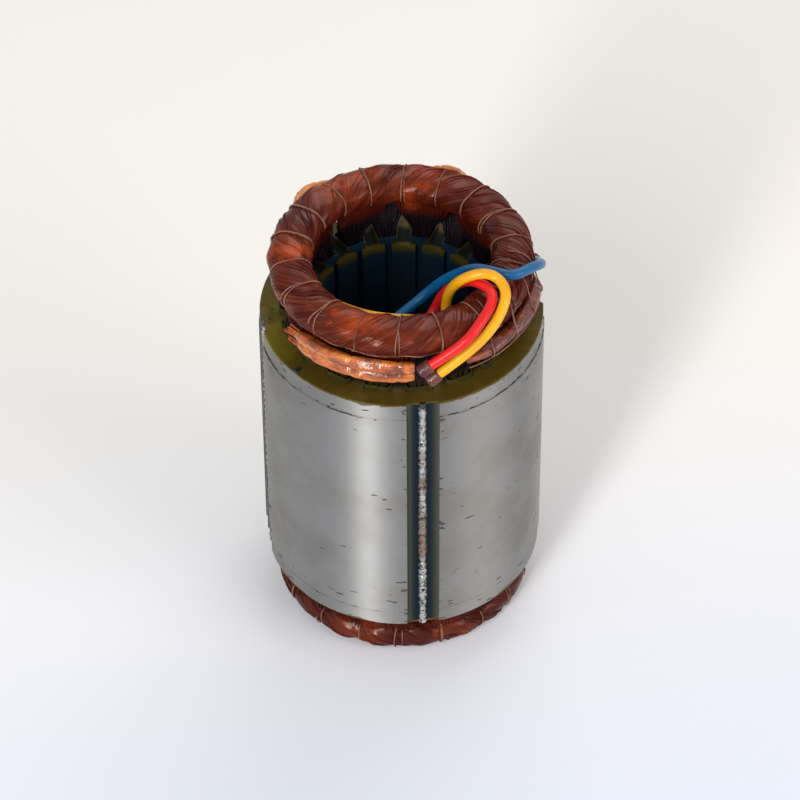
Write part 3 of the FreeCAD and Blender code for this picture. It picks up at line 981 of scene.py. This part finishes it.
# ---------------- end windings
@dataclass
class EndWinding:
    """One end winding: a ring of wires that bulges over the slots and is pinched by its lacing.

    Args:
        name: name of the end.
        inner: inner radius, in millimetres.
        outer: outer radius.
        half_height: half of its height.
        centre: height of its middle.
        away: 1 where away from the stack is up, -1 where it is down.
        seed: start of its small irregularities.
        power: squareness of its section.
        pinch: size between two slots, where it is 1 over a slot.
        sweep: angle in degrees that a wire winds through from the inside to the outside.
    """

    name: str
    inner: float
    outer: float
    half_height: float
    centre: float
    away: float
    seed: float
    power: float = 2.4
    pinch: float = 0.93
    sweep: float = 58.0

    @property
    def middle(self) -> float:
        """Radius of the middle of the section."""
        return (self.inner + self.outer) / 2.0

    def size(self, turn: float) -> float:
        """Scale of the section at an angle: fullest over a slot, with a narrow waist under each lace."""
        wave = cos(radians((turn - FIRST_SLOT) * SLOTS))
        gentle = self.pinch + (1.0 - self.pinch) * (1.0 + wave) / 2.0
        waist = exp(-(radians(off_lace(turn)) * self.middle) ** 2)
        fullness = 0.018 * wavy(round((turn - FIRST_SLOT) / SLOT_PITCH) * 7.7, self.seed, 1.0)
        return gentle - 0.028 * waist + fullness + 0.008

    def surface(self, turn: float, around: float, lift: float) -> Vector:
        """Point on the winding.

        Args:
            turn: angle about the axis, in degrees.
            around: angle round the section, in degrees: 0 outwards and 90 away from the stack.
            lift: distance off the surface, in millimetres.

        Returns:
            The point, in millimetres.
        """
        a = radians(around)
        size = self.size(turn)
        half_width = (self.outer - self.inner) / 2.0 * size
        x, y = signed_power(cos(a), 2.0 / self.power), signed_power(sin(a), 2.0 / self.power)
        spot = polar(self.middle + half_width * x, turn, self.centre)
        lump = 0.34 * wavy(spot.x * 0.11, spot.y * 0.11, self.seed + around * 0.012)
        reach = lift + lump + 0.10 * sin(radians(self.stream(turn, around) * SLOTS * 1.5))
        height = self.centre + self.away * (self.half_height * size * y + reach * sin(a))
        return polar(self.middle + half_width * x + reach * cos(a), turn, height)

    @staticmethod
    def progress(around: float) -> float:
        """Share of a wire's way that lies behind it at an angle round the section."""
        return clamped((WIRE_START - around) / WIRE_ARC)

    def drift(self, turn: float, around: float) -> float:
        """Slow sideways wander of the wires, in degrees."""
        return 5.0 * wavy(turn * 0.045, around * 0.010, self.seed + 4.0)

    def stream(self, turn: float, around: float) -> float:
        """Angle at which a wire through a place set out from the inside of the ring."""
        end = WIRE_START - WIRE_ARC
        around = (around - end) % 360.0 + end
        return turn + self.sweep * self.progress(around) - self.drift(turn, around)

    def body_mesh(self, name: str) -> Mesh:
        """Closed varnished body that the outermost wires lie in, with its strand attribute."""
        turns, sides = 540, 56
        rounds = [360.0 * s / sides for s in range(sides)]
        sections, strands = [], []
        for i in range(turns):
            turn = 360.0 * i / turns
            sections.append([self.surface(turn, around, -0.06) for around in rounds])
            strands += [polar(self.middle, self.stream(turn, around), 0.12 * around) * MM for around in rounds]
        shell = Shell()
        shell.skin(sections, closed=True)
        mesh = shell.mesh(name, 80.0)
        layer = mesh.attributes.new("strand", "FLOAT_VECTOR", "POINT")
        layer.data.foreach_set("vector", [value for place in strands for value in place])
        return mesh

    def wire_path(self, start: float, rng: random.Random, crossing: bool) -> Path:
        """Path of one wire from the inside of the ring across to its outside.

        Args:
            start: angle at which it sets out, in degrees.
            rng: source of its small irregularities.
            crossing: whether it lies across its neighbours.

        Returns:
            The path, in millimetres.
        """
        sweep = self.sweep * (rng.uniform(0.55, 1.5) if crossing else rng.uniform(0.97, 1.03))
        lift = rng.uniform(-0.04, 0.10) if crossing else rng.uniform(-0.30, -0.11)
        begin, end = rng.uniform(228.0, 240.0), rng.uniform(-72.0, -55.0)
        if crossing:
            begin, end = rng.uniform(150.0, 215.0), rng.uniform(-40.0, 60.0)
        path = []
        for share in shares(max(8, int(34 * (begin - end) / WIRE_ARC))):
            around = mixed(begin, end, share)
            turn = start - sweep * self.progress(around) + self.drift(start, around)
            off = lift * sin(pi * share) ** 0.5 if crossing else lift - 0.05
            path.append(self.surface(turn, around, off))
        return path

    def coil_wires(self, index: int, count: int) -> list[Path]:
        """Paths of the wires that one coil shows on this end winding."""
        rng = random.Random(int(1000 * self.seed) + index)
        share = 360.0 / COILS
        base = FIRST_SLOT - share * index
        paths = [self.wire_path(base - share * (w + rng.uniform(-0.2, 0.2)) / count, rng, False) for w in range(count)]
        return paths + [self.wire_path(base - share * rng.random(), rng, True) for _ in range(count // 6)]

    def lace_path(
        self, turn: float, slant: float, lean: float, lift: float, start: float = -60.0, sweep: float = 360.0
    ) -> Path:
        """Path of one pull of cord round the ring.

        Args:
            turn: angle about the axis, in degrees.
            slant: how far the cord's outside leads its inside, in degrees.
            lean: sideways bow on the side away from the stack, in degrees.
            lift: distance off the surface, in millimetres.
            start: angle round the section at which it starts.
            sweep: how far round it goes.

        Returns:
            The path, in millimetres.
        """
        path = []
        for share in shares(72):
            around = start + sweep * share
            a = radians(around)
            path.append(self.surface(turn + slant * cos(a) + lean * sin(a), around, lift))
        return path


@dataclass
class Winding:
    """Nine coils, each with its wires on both end windings, its risers and its sides in two slots.

    Args:
        stack: the lamination stack.
        rings: the top and the bottom end winding.
        wire_radius: radius of a wire, in millimetres.
        wires: wires that a coil shows across each end winding, and round each riser.
        span: slots from a coil's first side to its second.
        fans: half widths at the ring of the inner and of the outer risers.
        wedge: thickness of a slot wedge.
        liner: thickness of a slot liner with its play.
        gap: room between a coil side and its wedge or liner.
        side_gap: room beside a coil side for the liner and its play.
        floor_rounding: how much narrower a coil side is at the slot's floor.
        side_end: distance from a coil side's end to the stack's face.
        riser_foot: distance from a riser's foot down to the stack's face.
        body_scale: size of a riser's body inside its wires.
    """

    stack: Stack
    rings: tuple[EndWinding, EndWinding]
    wire_radius: float = 0.22
    wires: int = 34
    span: int = 7
    fans: tuple[float, float] = (7.4, 10.2)
    wedge: float = 0.9
    liner: float = 0.35
    gap: float = 0.12
    side_gap: float = 0.62
    floor_rounding: float = 0.55
    side_end: float = 1.4
    riser_foot: float = 1.5
    body_scale: float = 0.84

    def leg_outline(self) -> Outline:
        """Rounded section of a coil side in its slot, as distance from the axis and offset."""
        inner = self.stack.wedge_radius + self.wedge + self.gap
        outer = self.stack.slot_floor - self.liner - self.gap
        narrow = self.stack.slot_half_width(inner, self.side_gap)
        wide = self.stack.slot_half_width(outer, self.side_gap) - self.floor_rounding
        points = []
        for step in range(self.wires):
            a = 2.0 * pi * step / self.wires
            share = (signed_power(cos(a), 0.5) + 1.0) / 2.0
            points.append((mixed(inner, outer, share), mixed(narrow, wide, share) * signed_power(sin(a), 0.5)))
        return points

    def riser_row(self, ring: EndWinding, first: bool, share: float) -> Path:
        """Section of a riser on the +X side, with one corner for each wire.

        Args:
            ring: the end winding it runs to.
            first: whether it is the coil's first side, which joins the inside of the ring.
            share: 0 in the slot and 1 in the ring.

        Returns:
            The section, in millimetres.
        """
        low = (self.stack.top if ring.away > 0 else self.stack.bottom) - ring.away * self.riser_foot
        high = ring.centre - ring.away * ring.half_height * 0.55
        reach, offset, spread = ring.outer - 2.4, 1.1, self.fans[1]
        if first:
            reach, offset, spread = ring.inner + 1.5, -1.1, self.fans[0]
        t = clamped((share - 0.16) / 0.84)
        bend = t * t * (3.0 - 2.0 * t)
        row = []
        for step, (x0, y0) in enumerate(self.leg_outline()):
            a = 2.0 * pi * step / self.wires
            x1, y1 = reach + signed_power(cos(a), 0.6), offset + spread * signed_power(sin(a), 0.7)
            turn = degrees(mixed(y0 / x0, y1 / x1, bend))
            row.append(polar(mixed(x0, x1, bend), turn, mixed(low, high, share)))
        return row

    def riser(self, ring: EndWinding, slot: int, first: bool, rng: random.Random) -> tuple[list[Path], list[Path]]:
        """Wires and body of one riser.

        Args:
            ring: the end winding it runs to.
            slot: number of the slot.
            first: whether it is the coil's first side.
            rng: source of small irregularities.

        Returns:
            Paths of the wires, and sections of the body inside them.
        """
        spin = spun(FIRST_SLOT - SLOT_PITCH * slot)
        rows = [(share, self.riser_row(ring, first, share)) for share in shares(12)]
        paths = []
        for step in range(self.wires):
            drift = rng.uniform(-0.6, 0.6)
            path = []
            for share, row in rows:
                place = row[step].lerp(row[(step + 1) % self.wires], clamped(drift * share))
                sway = Vector((wavy(step * 3.1, slot, share * 2.0), wavy(step * 5.7, slot + 40.0, share * 2.0), 0.0))
                path.append(spin @ (place + sway * (0.35 * sin(pi * share))))
            paths.append(path)
        sections = []
        for _, row in rows:
            centre = sum(row, Vector()) / self.wires
            sections.append([spin @ (centre + (p - centre) * self.body_scale) for p in row])
        return paths, sections

    def coil(self, index: int, tree: Tree, material: Material) -> Mesh:
        """Mesh of one coil.

        Args:
            index: number of the coil.
            tree: the tree that makes round wires.
            material: finish of the wires.

        Returns:
            The mesh, with its material.
        """
        rng = random.Random(500 + index)
        name = f"coil_wires_{COIL_NAMES[index]}"
        slots = (2 * index, 2 * index + self.span)
        paths: list[Path] = []
        body = Shell()
        for ring in self.rings:
            paths += ring.coil_wires(index, self.wires)
            for slot, first in zip(slots, (True, False)):
                wires, sections = self.riser(ring, slot, first, rng)
                paths += wires
                body.loft(sections)
        for slot in slots:
            spin = spun(FIRST_SLOT - SLOT_PITCH * slot)
            heights = (self.stack.bottom + self.side_end, self.stack.top - self.side_end)
            body.loft([[spin @ p for p in level(self.leg_outline(), z)] for z in heights])
        wires_mesh = tree.grown(
            name, paths, Material=material, Wire_Radius=self.wire_radius, Sides=6, Waver=0.28, Waver_Scale=260.0
        )
        body_mesh = body.mesh(name + "_body", 60.0)
        body_mesh.materials.append(material)
        return joined_mesh(name, [wires_mesh, body_mesh])

    def build(self) -> None:
        """Make and dress both end windings and the nine coils."""
        wire = WindingFinish().material()
        film = WindingFinish("winding_varnish_body", 0.22, True).material()
        tree = wire_tree()
        for index, coil in enumerate(COIL_NAMES):
            set_out(f"coil_wires_{coil}", self.coil(index, tree, wire), Finish.WINDING, None, [f"coil_{coil}"])
        for ring in self.rings:
            name = f"winding_body_{ring.name}"
            set_out(name, ring.body_mesh(name), Finish.WINDING, film)


# ---------------- leads
@dataclass
class Lead:
    """One flexible lead, from its joint with the winding to its bare end.

    Args:
        name: its colour.
        light: the lighter colour of its insulation.
        deep: the deeper colour of its insulation.
        length: its length, in millimetres.
        route: control points, in millimetres, with heights above the stack's top face.
    """

    name: str
    light: Colour
    deep: Colour
    length: float
    route: list[tuple[float, float, float]]
    joint_radius: float = 2.0
    joint_length: float = 3.8

    @property
    def points(self) -> Path:
        """Control points at their heights."""
        return [Vector((x, y, STACK.top + rise)) for x, y, rise in self.route]

    def curve(self, bevel: float) -> bpy.types.Curve:
        """The lead's line as a spline of order three.

        Args:
            bevel: radius of the lead in millimetres, or 0 for its line alone.

        Returns:
            The curve.
        """
        curve = bpy.data.curves.new(f"lead_{self.name}_line", "CURVE")
        curve.dimensions = "3D"
        curve.resolution_u = 14
        curve.bevel_depth = bevel * MM
        curve.bevel_resolution = 7
        curve.use_fill_caps = bevel > 0.0
        spline = curve.splines.new("NURBS")
        spline.points.add(len(self.route) - 1)
        for place, point in zip(spline.points, self.points):
            place.co = (*(point * MM), 1.0)
        spline.order_u = 3
        spline.use_endpoint_u = True
        return curve

    def line(self) -> Path:
        """Points along the lead's line, in millimetres."""
        curve = self.curve(0.0)
        mesh = taken(placed("line", curve))
        line = [v.co / MM for v in mesh.vertices]
        bpy.data.curves.remove(curve)
        bpy.data.meshes.remove(mesh)
        return line

    def joint_mesh(self) -> Mesh:
        """Sleeve over the joint between the lead and the winding."""
        first, second = self.points[:2]
        back = (first - second).normalized()
        seed = len(self.name) * 3.3

        def radius(share: float, turn: float) -> float:
            """A shrunk, slightly wrinkled sleeve with rounded ends."""
            end = min(share, 1.0 - share) * self.joint_length
            rounded = 1.0 - 0.16 * (1.0 - clamped(end / 0.5)) ** 2
            wrinkle = 0.05 * wavy(cos(turn) * 1.5, sin(turn) * 1.5, share * 5.0 + seed)
            return self.joint_radius * (rounded + wrinkle)

        path = [first + back * (self.joint_length * share) for share in shares(26)]
        return tube_mesh(f"joint_cover_{self.name}", path, radius, 32, 70.0)

    def strands_mesh(self, tree: Tree, material: Material) -> Mesh:
        """Copper strands that show at the lead's cut end."""
        line = self.line()
        ahead = (line[-1] - line[-3]).normalized()
        axes = section_frame(ahead)
        places = [(0.0, 0.0)] + [(0.42, 60.0 * i) for i in range(6)] + [(0.82, 30.0 * i + 15.0) for i in range(12)]
        paths = []
        for reach, turn in places:
            start = line[-1] + across(axes, reach, radians(turn))
            paths.append([start + ahead * (0.35 * s - 0.6) for s in range(4)])
        name = f"lead_strands_{self.name}"
        return tree.grown(name, paths, Wire_Radius=0.2, Sides=8, Waver=0.0, Waver_Scale=1.0, Material=material)

    def build(self, tree: Tree, joint: Material, copper: Material) -> None:
        curve = self.curve(LEAD_RADIUS)
        name = f"{self.name}_insulation"
        plastic = SimpleFinish(name, self.light, self.deep, (0.30, 0.42), 0.15, 90.0, 2600.0, 0.015, 0.45)
        curve.materials.append(plastic.material())
        piece = placed(f"flexible_lead_{self.name}", curve)
        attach(piece, BODY)
        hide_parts(f"lead_{self.name}")
        replaced = [f"joint_sleeve_{self.name}"]
        cover = set_out(f"joint_cover_{self.name}", self.joint_mesh(), Finish.JOINT, joint, replaced)
        strands = set_out(f"lead_strands_{self.name}", self.strands_mesh(tree, copper), Finish.WINDING)
        tuple(self.points[0] * MM)
        LOG.info("lead %s: %.1f mm", self.name, self.length)


LEADS = [
    Lead("yellow", (0.80, 0.39, 0.008), (0.52, 0.22, 0.008), 96.5, [
        (4.7, -38.2, 10.0), (11.0, -37.4, 14.4), (17.4, -35.5, 18.9), (22.3, -31.8, 22.8),
        (25.2, -27.0, 26.6), (23.4, -21.9, 28.2), (18.9, -20.8, 29.5), (13.2, -19.4, 26.2),
        (11.0, -15.0, 18.2), (10.2, -14.6, 12.8), (9.8, -17.6, 10.8), (6.4, -21.2, 13.4),
        (0.0, -22.5, 16.0), (-8.0, -20.9, 16.2), (-14.6, -17.3, 15.6), (-18.6, -13.0, 14.6),
    ]),
    Lead("red", (0.72, 0.012, 0.012), (0.42, 0.008, 0.010), 84.7, [
        (2.4, -38.6, 14.0), (7.5, -38.4, 17.4), (12.8, -37.5, 21.0), (17.1, -33.6, 23.8),
        (20.8, -28.8, 25.2), (21.2, -23.8, 25.9), (16.6, -18.5, 25.0), (13.6, -12.4, 18.0),
        (10.3, -8.6, 11.4), (7.2, -10.2, 5.4), (1.6, -15.6, 2.6), (-5.0, -20.4, 1.9), (-12.4, -21.3, 1.6),
    ]),
    Lead("blue", (0.002, 0.115, 0.29), (0.003, 0.070, 0.19), 93.1, [
        (37.3, -0.6, 12.6), (37.9, -6.0, 16.6), (37.2, -11.7, 21.5), (33.2, -16.7, 25.3),
        (27.8, -20.4, 26.2), (22.6, -16.8, 25.6), (18.6, -11.4, 22.5), (15.0, -7.8, 17.8),
        (11.2, -4.6, 12.6), (7.0, -3.2, 7.2), (1.2, -5.2, 3.6), (-6.4, -10.2, 2.2), (-13.8, -14.2, 1.7),
        (-20.6, -13.4, 1.6),
    ]),
]


# ---------------- sleeves
@dataclass
class Sleeve:
    """Varnished sleeve bent round the outside of the winding.

    Args:
        name: name of the piece.
        centre_radius: distance of its line from the axis, in millimetres.
        height: height of its line.
        radius: its own radius.
        start: angle at which it begins, in degrees.
        end: angle at which it ends.
        seed: start of its small irregularities.
        knots: shares of its length where cord pinches it.
        bow: how far its ends tuck in, in millimetres.
    """

    name: str
    centre_radius: float
    height: float
    radius: float
    start: float
    end: float
    seed: float
    knots: tuple[float, ...]
    bow: float = 0.0

    def centre(self, share: float) -> Vector:
        """Point on the sleeve's line."""
        sway, rise = 0.2 * wavy(share * 4.0, self.seed, 5.0), 0.35 * wavy(share * 3.0, self.seed, 0.0)
        reach = self.centre_radius - self.bow * (2.0 * share - 1.0) ** 2 + sway
        return polar(reach, mixed(self.start, self.end, share), self.height + rise)

    def mesh(self) -> Mesh:
        """Crumpled sleeve that closes over the wires inside it."""

        def radius(share: float, turn: float) -> float:
            """Radius with long folds, cross wrinkles and gathered ends."""
            x, y = cos(turn), sin(turn)
            fold = 0.10 * sin(3.0 * turn + 5.0 * wavy(share * 2.4, self.seed, 2.0))
            wrinkle = 0.05 * wavy(x, y * 1.4, share * 14.0 + self.seed)
            fine = 0.03 * wavy(x * 3.0, y * 3.0, share * 70.0 + self.seed)
            gather = 1.0 - 0.35 * exp(-share * 16.0) - 0.30 * exp(-(1.0 - share) * 22.0)
            knot = sum(0.11 * exp(-((share - at) * 46.0) ** 2) for at in self.knots)
            return self.radius * (0.97 + fold + wrinkle + fine - knot) * gather

        return tube_mesh(self.name, [self.centre(share) for share in shares(260)], radius, 36, 80.0)

    def brush_paths(self, count: int) -> list[Path]:
        """Wire ends that fan out of the sleeve's first end."""
        rng = random.Random(int(self.seed * 10) + 3)
        start = self.centre(0.0)
        away = (start - self.centre(0.02)).normalized()
        axes = section_frame(away)
        paths = []
        for _ in range(count):
            turn = rng.uniform(0.0, 2.0 * pi)
            reach = self.radius * 0.52 * sqrt(rng.random())
            fan = rng.uniform(1.15, 1.75)
            length = rng.uniform(3.2, 5.2)
            path = []
            for share in shares(6):
                offset = across(axes, reach * mixed(1.0, fan, share ** 1.4), turn)
                path.append(start + offset + away * (length * share - 1.2))
            paths.append(path)
        return paths


@dataclass
class Sleeves:
    """Two star-point sleeves with frayed ends, the phase sleeve and two sleeves over hidden joints."""

    knots: tuple[float, ...] = (0.145, 0.51, 0.87)
    phase_knots: tuple[float, ...] = (0.2, 0.45, 0.7, 0.93)

    @property
    def phase(self) -> Sleeve:
        """The phase sleeve."""
        return Sleeve("phase_sleeving", 37.0, STACK.top + 11.2, 2.2, -70.0, -12.0, 8.6, self.phase_knots)

    def build(self, tree: Tree) -> None:
        """Make and dress the sleeves."""
        amber = SleeveFinish("amber_varnished_sleeving", 0.8, (
            (0.060, 0.014, 0.009), (0.20, 0.042, 0.010), (0.42, 0.100, 0.012), (0.64, 0.215, 0.030),
        )).material()
        gold = SleeveFinish("gold_varnished_sleeving", 0.6, (
            (0.34, 0.090, 0.012), (0.48, 0.140, 0.016), (0.58, 0.190, 0.022), (0.72, 0.300, 0.045),
        )).material()
        plum = SleeveFinish("plum_varnished_sleeving", 0.5, (
            (0.045, 0.010, 0.008), (0.085, 0.017, 0.011), (0.14, 0.028, 0.014), (0.28, 0.070, 0.020),
        )).material()
        brush = SimpleFinish(
            "frayed_wire_ends", (0.46, 0.10, 0.025), (0.20, 0.035, 0.013), (0.3, 0.5), 0.2, 260.0, 1500.0, 0.03
        ).material()
        for place, reach, rise, seed in (("lower", 36.5, 8.6, 2.2), ("upper", 37.15, 12.5, 5.1)):
            name = f"star_sleeving_{place}"
            sleeve = Sleeve(name, reach, STACK.top + rise, 1.95, -148.0, -93.0, seed, self.knots)
            set_out(name, sleeve.mesh(), Finish.AMBER, amber, [f"star_sleeve_{place}"])
            name += "_ends"
            paths = sleeve.brush_paths(46)
            ends = tree.grown(name, paths, Wire_Radius=0.17, Sides=5, Waver=0.5, Waver_Scale=300.0, Material=brush)
            set_out(name, ends, Finish.WINDING)
        set_out(self.phase.name, self.phase.mesh(), Finish.JOINT, plum)
        for side, start, end in (("left", 113.0, 139.0), ("right", 48.0, 70.0)):
            name = f"joint_sleeving_back_{side}"
            hidden = Sleeve(name, 37.2, STACK.top + 19.0, 1.8, start, end, start, (0.3, 0.7), 3.4)
            set_out(name, hidden.mesh(), Finish.AMBER, gold)


# ---------------- lacing
@dataclass
class Lacing:
    """Cord pulled round both end windings between every two slots, with a run from each loop to the next.

    Args:
        rings: the end windings.
        phase: the phase sleeve, which is tied to the top one.
        leads: lines of the leads, which the cord passes over.
        ply_radius: radius of one of the cord's two plies, in millimetres.
    """

    rings: tuple[EndWinding, EndWinding]
    phase: Sleeve
    leads: list[Path]
    ply_radius: float = 0.125

    def cleared(self, path: Path, ring: EndWinding) -> Path:
        """The path, lifted over the leads that it crosses."""
        clearance = LEAD_RADIUS + 2.0 * self.ply_radius + 0.05
        outwards, rises = [], []
        for point in path:
            out = (point - polar(ring.middle, turn_of(point), ring.centre)).normalized()
            spot = point.copy()
            for _ in range(40):
                if min((spot - p).length for line in self.leads for p in line) >= clearance:
                    break
                spot += out * 0.15
            outwards.append(out)
            rises.append((spot - point).length)
        smooth = []
        for i, (point, out) in enumerate(zip(path, outwards)):
            near = range(max(0, i - 4), min(len(path), i + 5))
            smooth.append(point + out * max(rises[j] * (1.0 - abs(i - j) / 5.0) for j in near))
        return smooth

    def loops(self, ring: EndWinding) -> list[Path]:
        """Every pull of cord on one end winding, and on the top one its running cords too."""
        rng = random.Random(17 + int(ring.away))
        paths = []
        over = 2.0 * self.ply_radius * 0.55
        for index in range(SLOTS):
            turn = FIRST_LACE + SLOT_PITCH * index
            slant, lean = rng.uniform(-1.2, 1.6), rng.uniform(-0.7, 0.7)
            paths.append(ring.lace_path(turn, slant, lean, over))
            if index % 3 != 1:
                turn += rng.uniform(-0.6, 0.6)
                start, sweep = rng.uniform(150.0, 230.0), rng.uniform(-250.0, -190.0)
                paths.append(ring.lace_path(turn, -slant - 1.0, lean * 0.5, over + 0.25, start, sweep))
        if ring.away < 0:
            return paths
        paths = [self.cleared(path, ring) for path in paths] + self.ties(ring)
        for at, phase in ((-38.0, 0.0), (256.0, 1.7)):
            run = []
            for share in shares(720):
                turn = 360.0 * share
                wave = at + 5.0 * sin(radians(turn * SLOTS) + phase)
                run.append(ring.surface(turn, wave, over + 0.35 * exp(-(off_lace(turn) / 1.1) ** 2)))
            paths.append(run)
        return paths

    def ties(self, ring: EndWinding) -> list[Path]:
        """Cord along the phase sleeve's outer edge, and pulls from the ring down over the sleeve."""
        half = self.phase.radius + self.ply_radius

        def beside(share: float, out: float, up: float) -> Vector:
            """Place outwards and upwards of the sleeve's line."""
            centre = self.phase.centre(share)
            return centre + Vector((centre.x, centre.y, 0.0)).normalized() * (half * out) + UP * (half * up)

        paths = [[beside(share, 0.85, -0.75) for share in shares(60)]]
        for share in self.phase.knots:
            turn = turn_of(self.phase.centre(share))
            pull = [ring.surface(turn + 0.05 * (around - 20.0), around, 0.2) for around in range(100, 10, -10)]
            pull += [beside(share, cos(radians(a)), sin(radians(a))) for a in range(50, -110, -16)]
            paths.append(pull)
        return paths

    def build(self) -> None:
        """Make and dress the lacing of both end windings."""
        cord = SimpleFinish(
            "waxed_lacing_cord", (0.27, 0.12, 0.075), (0.13, 0.040, 0.024), (0.30, 0.5), 0.3, 200.0, 2500.0, 0.03
        ).material()
        tree = laid_cord_tree()
        for ring in self.rings:
            name, paths = f"lacing_cord_{ring.name}", self.loops(ring)
            mesh = tree.grown(name, paths, Ply_Radius=self.ply_radius, Lay=1.3, Step=0.26, Sides=5, Material=cord)
            set_out(name, mesh, Finish.CORD, None, [f"{ring.name}_lacing"])


# ---------------- studio
@dataclass
class Studio:
    """Floor, lights and camera.

    Args:
        target: what the lights aim at and the camera turns about, in metres.
    """

    target: Vector
    distance: float = 1.2004
    elevation: float = 45.29
    pitch: float = 44.95
    roll: float = -0.35
    turn: float = -8.3
    lens: float = 188.3
    shift: tuple[float, float] = (-0.0025, -0.00875)

    def camera(self) -> None:
        """Camera at the chosen view."""
        data = bpy.data.cameras.new("camera")
        data.lens = self.lens
        data.sensor_width = 36.0
        data.shift_x, data.shift_y = self.shift
        data.clip_end = 20.0
        camera = placed("camera", data)
        e, t = radians(self.elevation), radians(self.pitch)
        spin = spun(self.turn)
        place = self.target + spin @ Vector((0.0, -cos(e), sin(e))) * self.distance
        ahead = spin @ Vector((0.0, cos(t), -sin(t)))
        aimed = ahead.to_track_quat("-Z", "Y").to_matrix() @ spun(self.roll)
        camera.matrix_world = Matrix.Translation(place) @ aimed.to_4x4()
        bpy.context.scene.camera = camera

    def softbox(self, name: str, place: Vector, size: tuple[float, float], power: float, colour: Colour) -> None:
        """One area light, aimed at the target."""
        data = bpy.data.lights.new(name, "AREA")
        data.shape = "RECTANGLE"
        data.size, data.size_y = size
        data.energy = power
        data.color = colour
        light = placed(name, data)
        light.location = place
        light.rotation_euler = (self.target - place).to_track_quat("-Z", "Y").to_euler()

    def world(self) -> None:
        """Soft grey fill that shows white to the camera and in what metal and gloss mirror."""
        world = bpy.data.worlds.new("studio")
        bpy.context.scene.world = world
        world.use_nodes = True
        sky = Nodes(world.node_tree)
        grey = sky.shader("Background", (0.93, 0.95, 1.0), 0.45)
        white = sky.shader("Background", (1.0, 0.995, 0.985), 1.0)
        rays = sky.node("ShaderNodeLightPath").outputs
        kinds = ("Is Camera Ray", "Is Glossy Ray", "Is Transmission Ray")
        seen = sky.maths("MAXIMUM", *(rays[kind] for kind in kinds))
        surface = world.node_tree.nodes["World Output"].inputs["Surface"]
        sky.feed(surface, sky.shader("MixShader", seen, grey, white))

    def floor(self) -> None:
        """Plain pale floor, with painted light: cooler and darker in front, warmer behind."""
        mesh = bpy.data.meshes.new("floor")
        corners = [(3.0 * x, 3.0 * y, 0.0) for x, y in ((-1, -1), (1, -1), (1, 1), (-1, 1))]
        mesh.from_pydata(corners, [], [(0, 1, 2, 3)])
        bench = Bench("floor_paper", Roughness=0.9, Specular_IOR_Level=0.1)
        # painted light: the floor's colour cools and darkens towards the front and warms towards the back
        tones = [(0.0, (0.72, 0.77, 0.88)), (0.5, (0.83, 0.84, 0.87)), (1.0, (0.89, 0.87, 0.83))]
        colour = bench.ramp(bench.window(bench.axes()[1], -0.14, 0.14), tones)
        normal = bench.bump(bench.noise(700.0, 2.0, 0.5), 0.02, 0.2)
        mesh.materials.append(bench.put(Base_Color=colour, Normal=normal))
        placed("floor", mesh)

    def build(self) -> None:
        """Set up the studio."""
        bpy.context.scene.view_settings.view_transform = "Standard"
        self.camera()
        self.world()
        self.floor()
        self.softbox("window_left", Vector((-0.72, -1.10, 1.25)), (0.32, 0.6), 8.0, (1.0, 0.99, 0.97))
        self.softbox("strip_left", Vector((-0.78, -1.22, 0.50)), (0.20, 0.8), 13.0, (1.0, 0.985, 0.96))
        self.softbox("window_back", Vector((0.5, 1.0, 1.2)), (1.2, 0.8), 7.5, (1.0, 0.97, 0.93))
        self.softbox("fill_right", Vector((0.95, -0.80, 0.65)), (0.9, 0.9), 8.5, (1.0, 0.88, 0.77))
        LOG.info("studio ready")


STACK = Stack()
TOP_RING = EndWinding("top", 24.7, 37.0, 4.4, STACK.top + 18.1, 1.0, 1.7)
BOTTOM_RING = EndWinding("bottom", 25.7, 37.0, 4.3, STACK.bottom - 10.7, -1.0, 6.4)
RINGS = (TOP_RING, BOTTOM_RING)
# centre, reach in millimetres and strength of the windings' orange areas
ORANGE_PLACES = [
    (polar(32.0, -118.0, TOP_RING.centre + 4.0), 9.0, 0.9),
    (polar(30.0, -103.0, TOP_RING.centre + 3.0), 9.0, 0.45),
    (polar(33.0, 118.0, TOP_RING.centre + 4.0), 10.0, 0.8),
    (polar(33.0, 100.0, TOP_RING.centre + 4.0), 7.0, 0.6),
    (polar(33.0, 165.0, TOP_RING.centre + 4.0), 8.0, 0.35),
    (polar(33.0, 62.0, TOP_RING.centre + 4.0), 9.0, 0.3),
    (polar(34.0, -120.0, BOTTOM_RING.centre), 12.0, 0.8),
]


def main() -> None:
    """Build every sub-assembly in order."""
    logging.basicConfig(level=logging.INFO, format="%(name)s: %(message)s")
    Studio(Vector((0.0, 0.0, (STACK.bottom + 44.5) * MM))).build()
    STACK.build()
    dress_insulation()
    Winding(STACK, RINGS).build()
    wires = wire_tree()
    joint = SimpleFinish(
        "joint_sleeve_varnish", (0.12, 0.030, 0.024), (0.05, 0.014, 0.014), (0.25, 0.45), 0.3, 200.0, 1200.0, 0.05
    ).material()
    copper = SimpleFinish(
        "bare_copper_strand", (0.72, 0.30, 0.15), (0.45, 0.15, 0.07), (0.25, 0.4), 0.0, 300.0, 2000.0, 0.01
    ).material()
    for lead in LEADS:
        lead.build(wires, joint, copper)
    sleeves = Sleeves()
    sleeves.build(wires)
    Lacing(RINGS, sleeves.phase, [lead.line() for lead in LEADS]).build()


if __name__ == "__main__":
    main()
